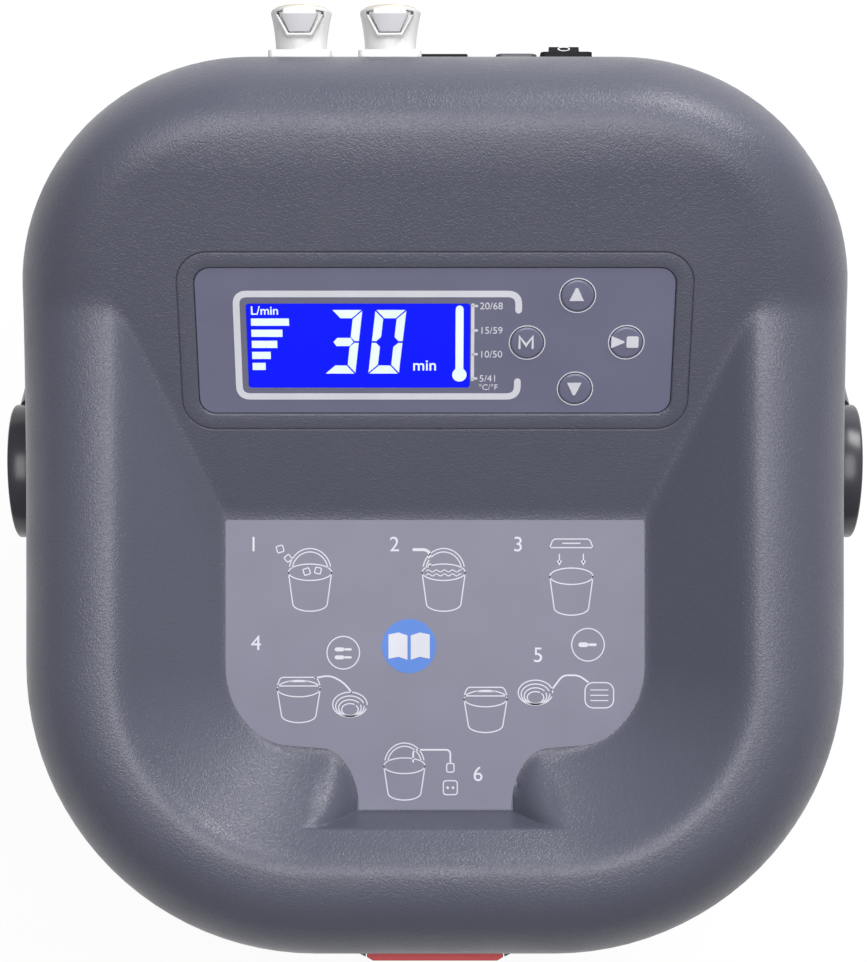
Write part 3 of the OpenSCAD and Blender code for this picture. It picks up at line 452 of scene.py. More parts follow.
def side_fractions(steps, length, lines):
    """Shares of a straight side's length at which it has points: even steps, and any lines across it."""
    marks = [0.5 + side * x / length for x in lines for side in (-1, 1)]
    even = [i / steps for i in range(1, steps)]
    clear = [t for t in even if all(abs(t - mark) > 0.3 / steps for mark in marks)]
    return sorted(clear + marks)


BACK_FRACTIONS = side_fractions(SIDE_STEPS, 2 * BACK_X, (HOOK_HALF, RECESS_X - 0.15, RECESS_X + 0.15))
FRONT_FRACTIONS = side_fractions(SIDE_STEPS, 2 * FRONT_X, (NOTCH_HALF,))
SIDE_FRACTIONS = side_fractions(SIDE_STEPS, 1, ())


def lid_outline(inset):
    """The lid's plan, with points where its openings begin."""
    return outline(inset, ARC_STEPS, (BACK_FRACTIONS, SIDE_FRACTIONS, FRONT_FRACTIONS, SIDE_FRACTIONS))


def outline(inset, arc_steps, sides):
    """Points round the lid's plan, drawn in by inset."""
    back, front = BACK_R - inset, FRONT_R - inset
    corners = [(BACK_X, BACK_Y, back), (-BACK_X, BACK_Y, back)]
    corners += [(-FRONT_X, FRONT_Y, front), (FRONT_X, FRONT_Y, front)]
    return round_corners(corners, arc_steps, sides)


def inset_of(x, y):
    """How far a plan point lies inside the lid's outline."""
    ax = abs(x)
    if y > BACK_Y and ax > BACK_X:
        return BACK_R - hypot(ax - BACK_X, y - BACK_Y)
    if y < FRONT_Y and ax > FRONT_X:
        return FRONT_R - hypot(ax - FRONT_X, y - FRONT_Y)
    return min(HALF_W - ax, HALF_D - y, HALF_D + y)


def lean_at(y):
    return BACK_LEAN * smooth((y - BACK_Y + SHOULDER) / BACK_R)


def leaning(x, y, z):
    """A point of the upright wall, which leans in at the back, with the recess for the fittings."""
    back = y - lean_at(y) * unit((z - SKIRT_Z) / LEAN_H)
    if y > HALF_D - 0.1 and abs(x) < RECESS_X and z > RECESS_LOW:
        back = min(back, FITTING_Y)
    return (x, back, z)


def wall_z(y):
    return FLOOR_Z + BACK_RISE * smooth((y - FOLD_Y) / (HALF_D - FOLD_Y))


def console_z(y):
    return FLOOR_Z + (y - FOLD_Y) * tan(CONSOLE)


def console_soft(y):
    """The console's height, rounded over where it meets the back of the shoulder."""
    return console_z(soft_min(y, CONSOLE_TOP - BACK_LEAN, 12))


def on_panel(x, y):
    """Where a plan point lies on the panel, along the slope, if it is on the console."""
    return x, (y - PANEL_Y) / cos(CONSOLE)


def panel_offset(u, v):
    """Distance of a panel point from the bezel's outline, negative inside."""
    w, h, r = BEZEL
    du, dv = abs(u) - (w / 2 - r), abs(v) - (h / 2 - r)
    return hypot(max(du, 0), max(dv, 0)) + min(max(du, dv), 0) - r


def lip_depth(offset):
    """How far the lid's skin is rounded down at the bezel's opening."""
    t = 1 - unit((offset - GAP) / LIP_R)
    return LIP_R * (1 - sqrt(max(0, 1 - t * t)))


def pocket_cut(x, y, dish):
    """Lowers the dish's front wall to the finger pocket, whose floor narrows in two quarter ellipses."""
    centre = STEM_W + STEM_FLARE
    across = max(0, centre - abs(x)) / STEM_FLARE
    along = unit((y - STEM_TO) / (STEM_FROM - STEM_TO))
    flare = STEM_FLARE / FLARE * (1 - hypot(across, along)) + max(0, abs(x) - centre) / FLARE
    flare = FLOOR_Z + max(0, flare)
    front = FLOOR_Z + max(0, POCKET_WALL - y) * POCKET_H / (POCKET_WALL - POCKET_END)
    softness = max(0.01, min(9, 0.7 * (dish - FLOOR_Z)))
    side = soft_min(dish, flare, softness)
    end = soft_min(dish, front, max(0.01, min(0.8, dish - FLOOR_Z)))
    return max(side, end)


def lid_top(x, y):
    """The lid's upper surface over a plan point."""
    d = inset_of(x, y)
    back = y - lean_at(y)
    crest = soft_max(RAIL_Z, console_soft(back), 1.5)
    if d < SHOULDER:
        wall = wall_z(y)
        t = 1 - d / SHOULDER
        return leaning(x, y, wall + (crest - wall) * sqrt(max(0, 1 - t * t)))
    slope = RAIL_Z - (d - SHOULDER - RAIL_W) * RAIL_H / DISH_WALL
    side = soft_max(soft_min(RAIL_Z, slope, 3.5), FLOOR_Z, 1)
    z = soft_max(console_soft(back), side, 1.2)
    if y < STEM_FROM + 8:
        z = pocket_cut(x, y, z)
    u, v = on_panel(x, back)
    if back > 0:
        z -= lip_depth(panel_offset(u, v)) / cos(CONSOLE)
    return (x, back, z)


def plan_y(back):
    """The plan's y of a point whose leaning y is known."""
    y = back
    for _ in range(6):
        y = back + lean_at(y)
    return y


def lid_rings():
    """Rings up the lid's edge and over its shoulder, to where the rail begins."""
    edge_r = 0.8
    rings = []
    for turn in range(0, 91, 30):
        rise = edge_r * (1 - cos(radians(turn)))
        inset = edge_r * (1 - sin(radians(turn)))
        rings.append([leaning(x, y, SKIRT_Z + rise) for x, y in lid_outline(inset)])
    low = SKIRT_Z + edge_r
    back_levels = [RECESS_LOW - 0.15, RECESS_LOW + 0.15, HOOK_TOP]
    levels = [(z - low) / (wall_z(HALF_D) - low) for z in back_levels] + [(NOTCH_LOW - low) / (FLOOR_Z - low)]
    for t in sorted(levels + [0.35, 0.6, 0.8]):
        rings.append([leaning(x, y, lerp(low, wall_z(y), t)) for x, y in lid_outline(0)])
    notch_turn = degrees(asin((NOTCH_HIGH - FLOOR_Z) / RAIL_H))
    for turn in [0, notch_turn] + list(range(10, 90, 5)):
        inset = SHOULDER * (1 - cos(radians(turn)))
        rings.append([lid_top(x, y) for x, y in lid_outline(inset)])
    return rings


def in_opening(corners):
    """Whether a face of the wall lies in the hook's slot or the latch's notch."""
    x, y, z = (sum(c[k] for c in corners) / len(corners) for k in range(3))
    in_slot = y > HALF_D - BACK_LEAN - 1 and abs(x) < HOOK_HALF and z < HOOK_TOP
    in_notch = y < 1 - HALF_D and abs(x) < NOTCH_HALF and NOTCH_LOW < z < NOTCH_HIGH
    return in_slot or in_notch


def grid_rows():
    """The grid's y values, closer together over the finger pocket's front wall."""
    low, high = -HALF_D + SHOULDER, HALF_D - SHOULDER
    steps = ceil((high - low) / GRID)
    rows = [lerp(low, high, i / steps) for i in range(1, steps)]
    rows = [y for y in rows if not POCKET_END - 1.1 < y < POCKET_WALL + 0.9]
    count = round((POCKET_WALL + 0.7 - POCKET_END + 1) / FINE_GRID)
    return rows + [POCKET_END - 1 + FINE_GRID * i for i in range(count + 1)]


def lid_field(first_ring):
    """Triangles over the lid inside the shoulder, round the bezel's opening."""
    points = [Vector(p) for p in first_ring]
    count = len(points)
    edges = [(i, (i + 1) % count) for i in range(count)]
    w, h, r = BEZEL
    for offset in [GAP + LIP_R * k for k in LIP_LOOPS]:
        loop = rounded(w + 2 * offset, h + 2 * offset, r + offset, 12, 70)
        base = len(points)
        points += [Vector((u, plan_y(PANEL_Y + v * cos(CONSOLE)))) for u, v in loop]
        edges += [(base + i, base + (i + 1) % len(loop)) for i in range(len(loop))]
    columns = ceil((HALF_W - SHOULDER) / GRID)
    for y in grid_rows():
        for i in range(-columns, columns + 1):
            x = i * GRID
            clear_of_opening = panel_offset(*on_panel(x, y - lean_at(y))) > GAP + LIP_LOOPS[-1] * LIP_R + 0.6
            if inset_of(x, y) > SHOULDER + 0.6 and clear_of_opening:
                points.append(Vector((x, y)))
    verts, _, faces, origin, _, _ = delaunay_2d_cdt(points, edges, [], 0, 1e-7, True)
    ring_index = {i: o for i, ids in enumerate(origin) for o in ids if o < count}
    kept = []
    for face in faces:
        x = sum(verts[i].x for i in face) / 3
        y = sum(verts[i].y for i in face) / 3
        if panel_offset(*on_panel(x, y - lean_at(y))) > GAP - 0.01:
            kept.append(face)
    return verts, kept, ring_index


def lid_shell():
    """The lid's skin from the skirt's edge to the bezel's opening, thickened inwards."""
    rings = lid_rings()
    verts, faces = loft(rings, capped=False)
    faces = [face for face in faces if not in_opening([verts[i] for i in face])]
    top_ring = lid_outline(SHOULDER)
    count = len(top_ring)
    base = len(verts)
    verts += [lid_top(x, y) for x, y in top_ring]
    faces += [(base - count + j, base - count + (j + 1) % count, base + (j + 1) % count, base + j)
              for j in range(count)]
    flat, triangles, ring_index = lid_field(top_ring)
    index = {}
    for i, p in enumerate(flat):
        if i in ring_index:
            index[i] = base + ring_index[i]
        else:
            index[i] = len(verts)
            verts.append(lid_top(p.x, p.y))
    faces += [tuple(index[i] for i in face) for face in triangles]
    made = piece("lid_shell", verts, faces, LID, "lid", ["lid_top_shell"], "lid_plastic", sharp=50)
    # The wall thins at the lip, where its inner face would come out through the console.
    full = made.vertex_groups.new(name="full_wall")
    for vertex in made.data.vertices:
        x, y, z = vertex.co / MM
        at_lip = z > console_z(y) - 1 and panel_offset(*on_panel(x, y)) < GAP + 1.2 * LIP_R
        full.add([vertex.index], 0 if at_lip else 1, "REPLACE")
    thick = made.modifiers.new("wall", "SOLIDIFY")
    thick.thickness = LID_WALL * MM
    thick.offset = -1
    thick.use_even_offset = False
    thick.vertex_group = full.name
    thick.thickness_vertex_group = 0.06


lid_shell()


# ---- Panel -----------------------------------------------------------------------------------
PANEL = Matrix.Translation((0, PANEL_Y, console_z(PANEL_Y))) @ Matrix.Rotation(CONSOLE, 4, "X")
FILM_FACE = PANEL @ Matrix.Translation((0, 0, OVERLAY_TOP))
BEZEL_DEPTH = 5.9
SEAT_W = 2.2
# Print stands out of its film by the first and starts inside it at the second
INK_H = 0.07
INK_LOW = -0.03
# The height of the font's capitals, as a share of its size
CAPITALS = 0.69


def bezel():
    """The bezel's frame, with both its edges rounded and a seat for the overlay."""
    def ring(size, offset, height):
        w, h, r = size
        return [(x, y, height) for x, y in rounded(w + 2 * offset, h + 2 * offset, r + offset, 10, 8)]
    seat = OVERLAY_TOP - 0.95
    rings = [ring(BEZEL, GAP + 0.3, -BEZEL_DEPTH), ring(BEZEL, GAP + 0.3, -0.6)]
    rings += [ring(BEZEL, 0, -0.6), ring(BEZEL, 0, -LIP_R)]
    rings += [ring(BEZEL, -LIP_R * (1 - cos(radians(a))), -LIP_R * (1 - sin(radians(a))))
              for a in (22, 45, 68, 90)]
    rings += [ring(OVERLAY, GAP + 0.5 * (1 - sin(radians(a))), -0.5 * (1 - cos(radians(a))))
              for a in (0, 30, 60, 90)]
    rings += [ring(OVERLAY, GAP, seat), ring(OVERLAY, -SEAT_W, seat), ring(OVERLAY, -SEAT_W, -BEZEL_DEPTH)]
    piece("bezel", *loft(rings, cyclic=True), LID, "lid", ["panel_bezel"], "lid_plastic", PANEL)


def strip(stations, closed=False):
    """A thin raised stroke through stations of (x, y, half width)."""
    count = len(stations)
    rings = []
    for i, (x, y, half) in enumerate(stations):
        before = stations[(i - 1) % count if closed else max(i - 1, 0)]
        after = stations[(i + 1) % count if closed else min(i + 1, count - 1)]
        a = Vector((x - before[0], y - before[1]))
        b = Vector((after[0] - x, after[1] - y))
        a = a.normalized() if a.length > 1e-6 else b.normalized()
        b = b.normalized() if b.length > 1e-6 else a
        along = (a + b).normalized() if (a + b).length > 1e-6 else a
        reach = half / max(0.5, along.dot(a))
        left = (x - along.y * reach, y + along.x * reach)
        right = (x + along.y * reach, y - along.x * reach)
        rings.append([(*left, INK_H), (*right, INK_H), (*right, INK_LOW), (*left, INK_LOW)])
    return loft(rings, not closed, closed)


def line(points, width, closed=False):
    """A stroke of even width with round ends."""
    half = width / 2
    stations = [(x, y, half) for x, y in points]
    if not closed:
        for end, beyond in ((0, 1), (-1, -2)):
            p, q = Vector(points[end]), Vector(points[beyond])
            out = (p - q).normalized()
            caps = [(*(p + out * half * sin(t)), half * cos(t)) for t in (0.6, 1.1, 1.5)]
            stations = list(reversed(caps)) + stations if end == 0 else stations + caps
    return strip(stations, closed)


def dot(x, y, r):
    return plate(arc_points(x, y, r, r, 0, 345, 23))


def circle(x, y, r, width):
    return line(arc_points(x, y, r, r, 0, 355, 71), width, True)


def plate(points):
    return prism(points, INK_LOW, INK_H)


def letters(text, size, x, y, align="LEFT", bold=0.0):
    """Lettering with its baseline from (x, y), size millimetres tall in capitals."""
    curve = bpy.data.curves.new("letters", "FONT")
    curve.body = text
    curve.align_x = align
    curve.size = size / CAPITALS
    curve.extrude = (INK_H - INK_LOW) / 2
    curve.resolution_u = 5
    curve.offset = bold
    holder = bpy.data.objects.new("letters", curve)
    mesh = bpy.data.meshes.new_from_object(holder)
    lift = (INK_H + INK_LOW) / 2
    verts = [(v.co.x + x, v.co.y + y, v.co.z + lift) for v in mesh.vertices]
    faces = [tuple(p.vertices) for p in mesh.polygons]
    bpy.data.objects.remove(holder)
    bpy.data.curves.remove(curve)
    bpy.data.meshes.remove(mesh)
    return verts, faces


def fillet(points, r):
    """A polyline whose inner corners are rounded."""
    steps = 6
    out = [points[0]]
    for before, here, after in zip(points, points[1:], points[2:]):
        p, q, s = Vector(here), Vector(before), Vector(after)
        a, b = (q - p).normalized() * r, (s - p).normalized() * r
        for i in range(steps + 1):
            t = i / steps
            out.append(tuple((p + a) * (1 - t) ** 2 + p * 2 * t * (1 - t) + (p + b) * t * t))
    return out + [points[-1]]


def panel_print():
    """The white frame round the display, the scale beside it and the rings round the buttons."""
    left, right, top, low = -57.3, 24.1, 14.55, -17.1
    frame_line = [(right, 9.6), (right, top), (left, top), (left, low), (right, low), (right, -12.4)]
    x, levels = 10.9, (10.9, 3.45, -3.9, -11.45)
    upright = [(x, levels[0] + 0.35), (x, levels[-1] - 0.35)]
    shapes = [line(fillet(frame_line, 3.2), 1.95), line(upright, 0.95)]
    for y, value in zip(levels, ("20/68", "15/59", "10/50", "5/41")):
        shapes += [line([(x, y), (x + 1.2, y)], 0.7), letters(value, 2.05, x + 1.95, y - 1)]
    shapes.append(letters("°C/°F", 1.75, x + 1.8, levels[-1] - 3.6))
    shapes += [circle(*middle, 5.15, 0.3) for middle in BUTTONS.values()]
    piece("panel_print", *merged(*shapes), INK, "lid", at=FILM_FACE, slot="overlay_film")


def digit(x, y, lit):
    """Slanted seven-segment digit with its lower left corner at (x, y); lit names the segments."""
    # Width, height and stroke, then the gap between segments and the slant
    w, h, t = 8.9, 19.6, 2.5
    g, slant = 0.3, 0.12
    m, half = h / 2, t / 2
    shapes = {
        "a": [(g, h), (w - g, h), (w - t - g, h - t), (t + g, h - t)],
        "b": [(w, h - g), (w, m + g), (w - half, m + g), (w - t, m + half + g), (w - t, h - t - g)],
        "c": [(w, m - g), (w, g), (w - t, t + g), (w - t, m - half - g), (w - half, m - g)],
        "d": [(g, 0), (w - g, 0), (w - t - g, t), (t + g, t)],
        "e": [(0, m - g), (half, m - g), (t, m - half - g), (t, t + g), (0, g)],
        "f": [(0, h - g), (t, h - t - g), (t, m + half + g), (half, m + g), (0, m + g)],
        "g": [(half + g, m), (t, m + half), (w - t, m + half), (w - half - g, m), (w - t, m - half),
              (t, m - half)],
    }
    return [plate([(x + px + slant * py, y + py) for px, py in shapes[s]]) for s in lit]


def display_segments():
    """The reading, a scale of five bars, and a thermometer beside them."""
    shapes = digit(-32.2, -9.9, "abcdg") + digit(-19.5, -9.9, "abcdef")
    for k, length in enumerate((11.0, 9.0, 7.4, 5.4, 3.8)):
        x, y = -53.2, 4.9 - 3.42 * k
        shapes.append(plate([(x, y), (x + length, y), (x + length, y + 2.2), (x, y + 2.2)]))
    shapes += [letters("L/min", 2.5, -53.3, 8.3, bold=0.05), letters("min", 3.3, -6.6, -8.9, bold=0.05)]
    shapes += [line([(7.1, 9.9), (7.1, -9.0)], 2.3), dot(7.1, -10.3, 2.1)]
    piece("display_segments", *merged(*shapes), SEGMENT, "lid", at=FILM_FACE, slot="display_glass")


def button_marks():
    """Each button's mark, on its own cap."""
    marks = {
        "mode": [line([(-1.9, -1.7), (-1.9, 1.7), (0, -0.9), (1.9, 1.7), (1.9, -1.7)], 0.7)],
        "up": [plate([(-2.1, -1.75), (2.1, -1.75), (0.35, 2.1), (-0.35, 2.1)])],
        "down": [plate([(-2.1, 1.75), (-0.35, -2.1), (0.35, -2.1), (2.1, 1.75)])],
        "start": [plate([(-4.1, -1.9), (-0.3, -0.2), (-0.3, 0.2), (-4.1, 1.9)]),
                  plate([(x + 2.05, y) for x, y in rounded(3.5, 3.5, 0.5, 3)])],
    }
    cap_face = 0.69
    for name, (x, y) in BUTTONS.items():
        at = FILM_FACE @ Matrix.Translation((x - 0.3, y + 0.3, cap_face))
        piece(f"{name}_mark", *merged(*marks[name]), INK, f"button_{name}", at=at, slot="button_plastic")


bezel()
panel_print()
display_segments()
button_marks()
dress(FILM, "panel_overlay", edge=0.15)
dress(DISPLAY, "lcd_window")
dress(CAP, "button_mode", "button_up", "button_down", "button_start")


# ---- Label -----------------------------------------------------------------------------------
LABEL_AT = Matrix.Translation((0, 0, FLOOR_Z))
LABEL_T = 0.3
LABEL_FACE = LABEL_AT @ Matrix.Translation((0, 0, LABEL_T))
LABEL_TOP = -4.7
LABEL_HALF = 63.0
LABEL_SIDE_TO = -48.5
LABEL_LOW = -72.6


def label_outline():
    """The instruction film: straight sides, round lower corners and a stem into the finger pocket."""
    half = arc_points(LABEL_HALF - 0.8, LABEL_TOP - 0.8, 0.8, 0.8, 90, 0, 3)
    half += arc_points(LABEL_HALF - 20, LABEL_SIDE_TO, 20, LABEL_SIDE_TO - LABEL_LOW, 0, -90, 14)
    flare = (STEM_FLARE + 0.6, STEM_FROM - STEM_TO + 1.0)
    half += arc_points(STEM_W + STEM_FLARE, STEM_TO + 0.2, *flare, 90, 180, 14)
    return half + [(-x, y) for x, y in reversed(half)]


def book(x, y):
    """An open book, for the manual."""
    half = [(0.5, 3.4), (3.2, 4.3), (6.2, 3.7), (6.2, -3.6), (3.2, -3.0), (0.5, -3.9)]
    return [plate([(x + s * px, y + py) for px, py in (half if s > 0 else reversed(half))]) for s in (1, -1)]


# The width of the drawings' outlines
THIN = 0.34


def pail(x, y, w=13, h=9.5, bail=True):
    """A pail in outline, its rim's middle at (x, y)."""
    rise = w * 0.19
    side = [(x - w / 2, y)] + arc_points(x, y - h, w * 0.40, rise * 0.9, 180, 360, 12) + [(x + w / 2, y)]
    shapes = [line(arc_points(x, y, w / 2, rise, 0, 350, 35), THIN, True), line(side, THIN)]
    if bail:
        shapes += [line(arc_points(x, y + 0.4, w / 2 - inset, w * high, 12, 168, 16), THIN)
                   for inset, high in ((0.2, 0.52), (1.1, 0.44))]
    return shapes


def cover(x, y):
    """The lid in outline, seen from the front."""
    w, h = 6.5, 2.6
    top = fillet([(x - w, y), (x - w + 1, y + h), (x + w - 1, y + h), (x + w, y)], 1)
    middle = [(x - 2.6, y + h / 2), (x + 2.6, y + h / 2)]
    return [line(points, THIN) for points in (top, [(x - w, y), (x + w, y)], middle)]


def coil(x, y):
    """A hose in four loose turns."""
    turns = [(5.2 - 0.9 * k, y - 0.5 * k, 20 * k) for k in range(4)]
    return [line(arc_points(x, low, r, r * 0.72, turn, 340 + turn, 32), THIN) for r, low, turn in turns]


def box_line(x, y, w, h, r, turn=0, corner=3):
    """A rounded rectangle in outline, its middle at (x, y)."""
    c, s = cos(radians(turn)), sin(radians(turn))
    turned = [(x + px * c - py * s, y + px * s + py * c) for px, py in rounded(w, h, r, corner)]
    return line(turned, THIN, True)


def label_drawings():
    """Plain line drawings for six steps, each with its numeral."""
    numerals = ((-54.6, -11.9), (-12.2, -11.9), (25.0, -11.9), (-53.8, -41.6), (31.0, -45.2), (12.9, -81.0))
    shapes = [letters(str(k + 1), 4.4, x, y - 2.2, "CENTER") for k, (x, y) in enumerate(numerals)]
    # 1: ice goes in
    shapes += pail(-37.6, -20.4)
    cubes = ((-38.6, -20.2, 1.9, 20), (-35.2, -19.9, 1.8, -12),
             (-46.6, -13.4, 2.0, 15), (-44.2, -16.2, 1.8, 40))
    shapes += [box_line(x, y, side, side, side / 6, turn) for x, y, side, turn in cubes]
    # 2: water goes in
    shapes += pail(2.6, -20.4) + [dot(-1.6, -18.2, 0.5)]
    shapes += [line([(-2.6 + 0.5 * i, y + 0.35 * sin(1.3 * i)) for i in range(22)], 0.28)
               for y in (-20.0, -21.2)]
    # 3: the lid goes on
    shapes += pail(41.0, -21.6, bail=False) + cover(41.0, -13.0)
    for x in (37.4, 44.6):
        head = [(x - 0.8, -16.9), (x, -18.4), (x + 0.8, -16.9)]
        shapes += [line([(x, -15.0), (x, -17.4)], THIN), plate(head)]
    # 4: the hoses plug in
    shapes += pail(-41.0, -55.4, 13, 8, bail=False) + cover(-41.0, -54.6) + coil(-25.6, -60.2)
    shapes.append(circle(-27.6, -44.6, 4.9, THIN))
    # 5: the pad joins the hose
    shapes += pail(15.2, -58.4, 13, 8, bail=False) + cover(15.2, -57.6) + coil(30.2, -56.6)
    shapes += [box_line(49.4, -57.4, 8.6, 7.6, 2.4, corner=5), circle(46.0, -42.2, 4.9, THIN)]
    shapes += [line([(46.8, y), (52.0, y)], 0.28) for y in (-55.8, -57.4, -59.0)]
    # 6: the power goes on
    shapes += pail(-9.2, -78.6, 12.4, 8.2)
    shapes += [box_line(4.6, -79.2, 2.2, 2.6, 0.5), box_line(4.6, -85.2, 4.2, 4.2, 0.8)]
    shapes += [dot(3.8, -85.2, 0.4), dot(5.4, -85.2, 0.4)]
    # In the two circles, the hoses' plugs: each a body and a nose
    for y in (-43.6, -46.0):
        shapes += [line([(-29.6, y), (-27.9, y)], 1.2), line([(-27.0, y), (-25.4, y)], 0.7)]
    shapes += [line([(43.8, -42.2), (45.4, -42.2)], 1.4), line([(46.4, -42.2), (48.2, -42.2)], 0.8)]
    # The water's spout, two hoses and a cable: width, roundness, points
    runs = ((0.9, 0.8, (-6.4, -13.6), (-3.0, -13.6), (-1.6, -14.4), (-1.6, -16.2)),
            (0.5, 2, (-36.2, -52.2), (-31.5, -51.4), (-27.4, -53.6), (-25.2, -56.4)),
            (0.5, 1.5, (35.2, -55.6), (38.4, -51.4), (43.2, -51.4), (46.0, -53.4)),
            (0.5, 1.4, (-6.6, -77.4), (-6.6, -73.8), (4.6, -73.8), (4.6, -77.6)))
    shapes += [line(fillet(points, r), width) for width, r, *points in runs]
    piece("label_drawings", *merged(*shapes), LABEL_INK, "lid", at=LABEL_FACE, slot="label_silver")


def label():
    """The film with its drawings, and a blue disc with a book on it."""
    film = prism(label_outline(), 0.02, LABEL_T)
    piece("label", *film, LABEL, "lid", ["label_film"], "label_silver", LABEL_AT)
    piece("label_disc", *dot(-7.8, -42.6, 8.2), LABEL_BLUE, "lid", at=LABEL_FACE, slot="label_silver")
    book_at = LABEL_FACE @ Matrix.Translation((0, 0, INK_H))
    piece("label_book", *merged(*book(-7.8, -42.8)), LABEL_INK, "lid", at=book_at, slot="label_silver")
    label_drawings()


label()


# ---- Bucket ----------------------------------------------------------------------------------
def draw_in(z):
    """How far the bucket's wall stands inside the lid's outline."""
    return RIM_SET_BACK + TAPER * (RIM_Z - z) / RIM_Z


def bucket_outline(inset):
    return outline(inset, 16, [side_fractions(6, 1, ())] * 4)


def bucket_wall(t, low, radius):
    """Rings up a wall drawn in by t, from its round lower edge to the rim's underside."""
    rings = []
    for turn in range(90, -1, -10):
        a = radians(turn)
        inset = draw_in(low + radius) + t + radius * (1 - cos(a))
        rings.append([(x, y, low + radius * (1 - sin(a))) for x, y in bucket_outline(inset)])
    rings.append([(x, y, SHELL_TOP) for x, y in bucket_outline(draw_in(SHELL_TOP) + t)])
    return rings


def vessel(name, low, inset, wall, material, node, slot):
    """A cup of even wall: its outside, over the top, and down inside."""
    outer = bucket_wall(inset, low, BOTTOM_R - inset)
    inner = bucket_wall(inset + wall, low + wall, BOTTOM_R - inset - wall)
    piece(name, *loft(outer + list(reversed(inner))), material, "bucket", [node], slot, sharp=40)


def bucket():
    liner_floor = BASE_Z + LINER_IN + 1.5
    vessel("bucket_body", BASE_Z, 0, SHELL_WALL, PALE, "bucket_shell", "bucket_plastic")
    vessel("bucket_tank", liner_floor, LINER_IN, LINER_WALL, TANK, "bucket_liner", "tank_plastic")
    out, into, r = RIM_SET_BACK, RIM_SET_BACK + LINER_IN + LINER_WALL, 1
    outer = [(r * (1 - cos(radians(a))), r * sin(radians(a))) for a in (30, 60, 90)]
    inner = [(r * (1 - sin(radians(a))), r * cos(radians(a))) for a in (0, 30, 60, 90)]
    section = [(out, SHELL_TOP), (out, RIM_Z - r)] + [(out + d, RIM_Z - r + h) for d, h in outer]
    section += [(into - d, RIM_Z - r + h) for d, h in inner] + [(into, SHELL_TOP)]
    rings = [[(x, y, z) for x, y in bucket_outline(inset)] for inset, z in section]
    piece("bucket_top", *loft(rings, cyclic=True), PALE, "bucket", ["bucket_rim"], "bucket_plastic", sharp=40)


def level_marks():
    """Tick marks beside the level windows, raised from the bucket's wall."""
    shapes = []
    for k in range(7):
        z = 62 + 12 * k
        x, y = HALF_W - draw_in(z), PIVOT.y + 6.2
        tick = block((x - 0.6, y, z - 0.5), (x + 0.25, y + (7 if k % 3 == 0 else 4), z + 0.5))
        shapes += [tick, mirrored(tick)]
    piece("level_marks", *merged(*shapes), SEAL, "bucket", slot="window_plastic")


bucket()
level_marks()
dress(CLEAR, "level_windows", edge=0.4)
dress(RUBBER, "foot_pads", edge=0.4)
dress(PALE, "pivot_posts", edge=0.4)
dress(FOAM, "bucket_foam")
dress(STEEL, "pivot_screws", "front_strike", edge=0.15)
dress(PALE, "rear_catch", edge=0.8)


# ---- Handle ----------------------------------------------------------------------------------
def rest_angle():
    """How far the bail hangs down behind, from its own two sizes and the bucket's slope."""
    slope = TAPER / RIM_Z
    lean = sqrt(1 + slope * slope)
    reach = HALF_D - draw_in(PIVOT.z) - PIVOT.y + (GRIP_R + 0.3) * lean
    return atan(slope) + acos(reach / (BAIL_R * lean))


BAIL = Matrix.Translation(PIVOT) @ Matrix.Rotation(-rest_angle(), 4, "X")


def dome(r):
    """How far out the hub's face lies at radius r."""
    return ARM_X + ARM_T + HUB_RISE * (1 - (r / HUB_R) ** 6)


def tapering(shape):
    """Hub points whose outer face stands a little further out towards the arm."""
    along = Vector((0, cos(rest_angle()), -sin(rest_angle())))

    def out(x, y, z):
        rise = HUB_TAPER * along.dot((x, y, z)) - HUB_DROP - HUB_CROWN * (hypot(y, z) / HUB_R) ** 2
        return rise * unit((abs(x) - ARM_X) / (ARM_T + HUB_RISE)) * (1 if x > 0 else -1)
    return [(x + out(x, y, z), y, z) for x, y, z in shape[0]], shape[1]


def bail():
    """The U-shaped arm swept in one piece, wider towards its hubs."""
    bend = arc_points(0, 0, CORNER_BEND, CORNER_BEND, 0, 90, 16)
    mid = ARM_X + ARM_T / 2
    straight = BAIL_R - CORNER_BEND
    path = [(mid, t, 1, 0) for t in (15.5, 24, 40, 60, 80, 100, 120)]
    path += [(mid - CORNER_BEND + x, straight + y, x / CORNER_BEND, y / CORNER_BEND) for x, y in bend]
    path += [(-x, y, -nx, ny) for x, y, nx, ny in reversed(path)]
    rings = []
    for x, y, nx, ny in path:
        wider = 1 + ARM_SPREAD * unit((100 - y) / 85)
        section = [(u - 0.5, w * wider) for u, w in rounded(ARM_T - 1, ARM_W, 4, 7)]
        rings.append([(x + u * nx, y + u * ny, w) for u, w in section])
    piece("handle_arm", *loft(rings), HANDLE, "handle", ["handle_bail"], "handle_plastic", BAIL)


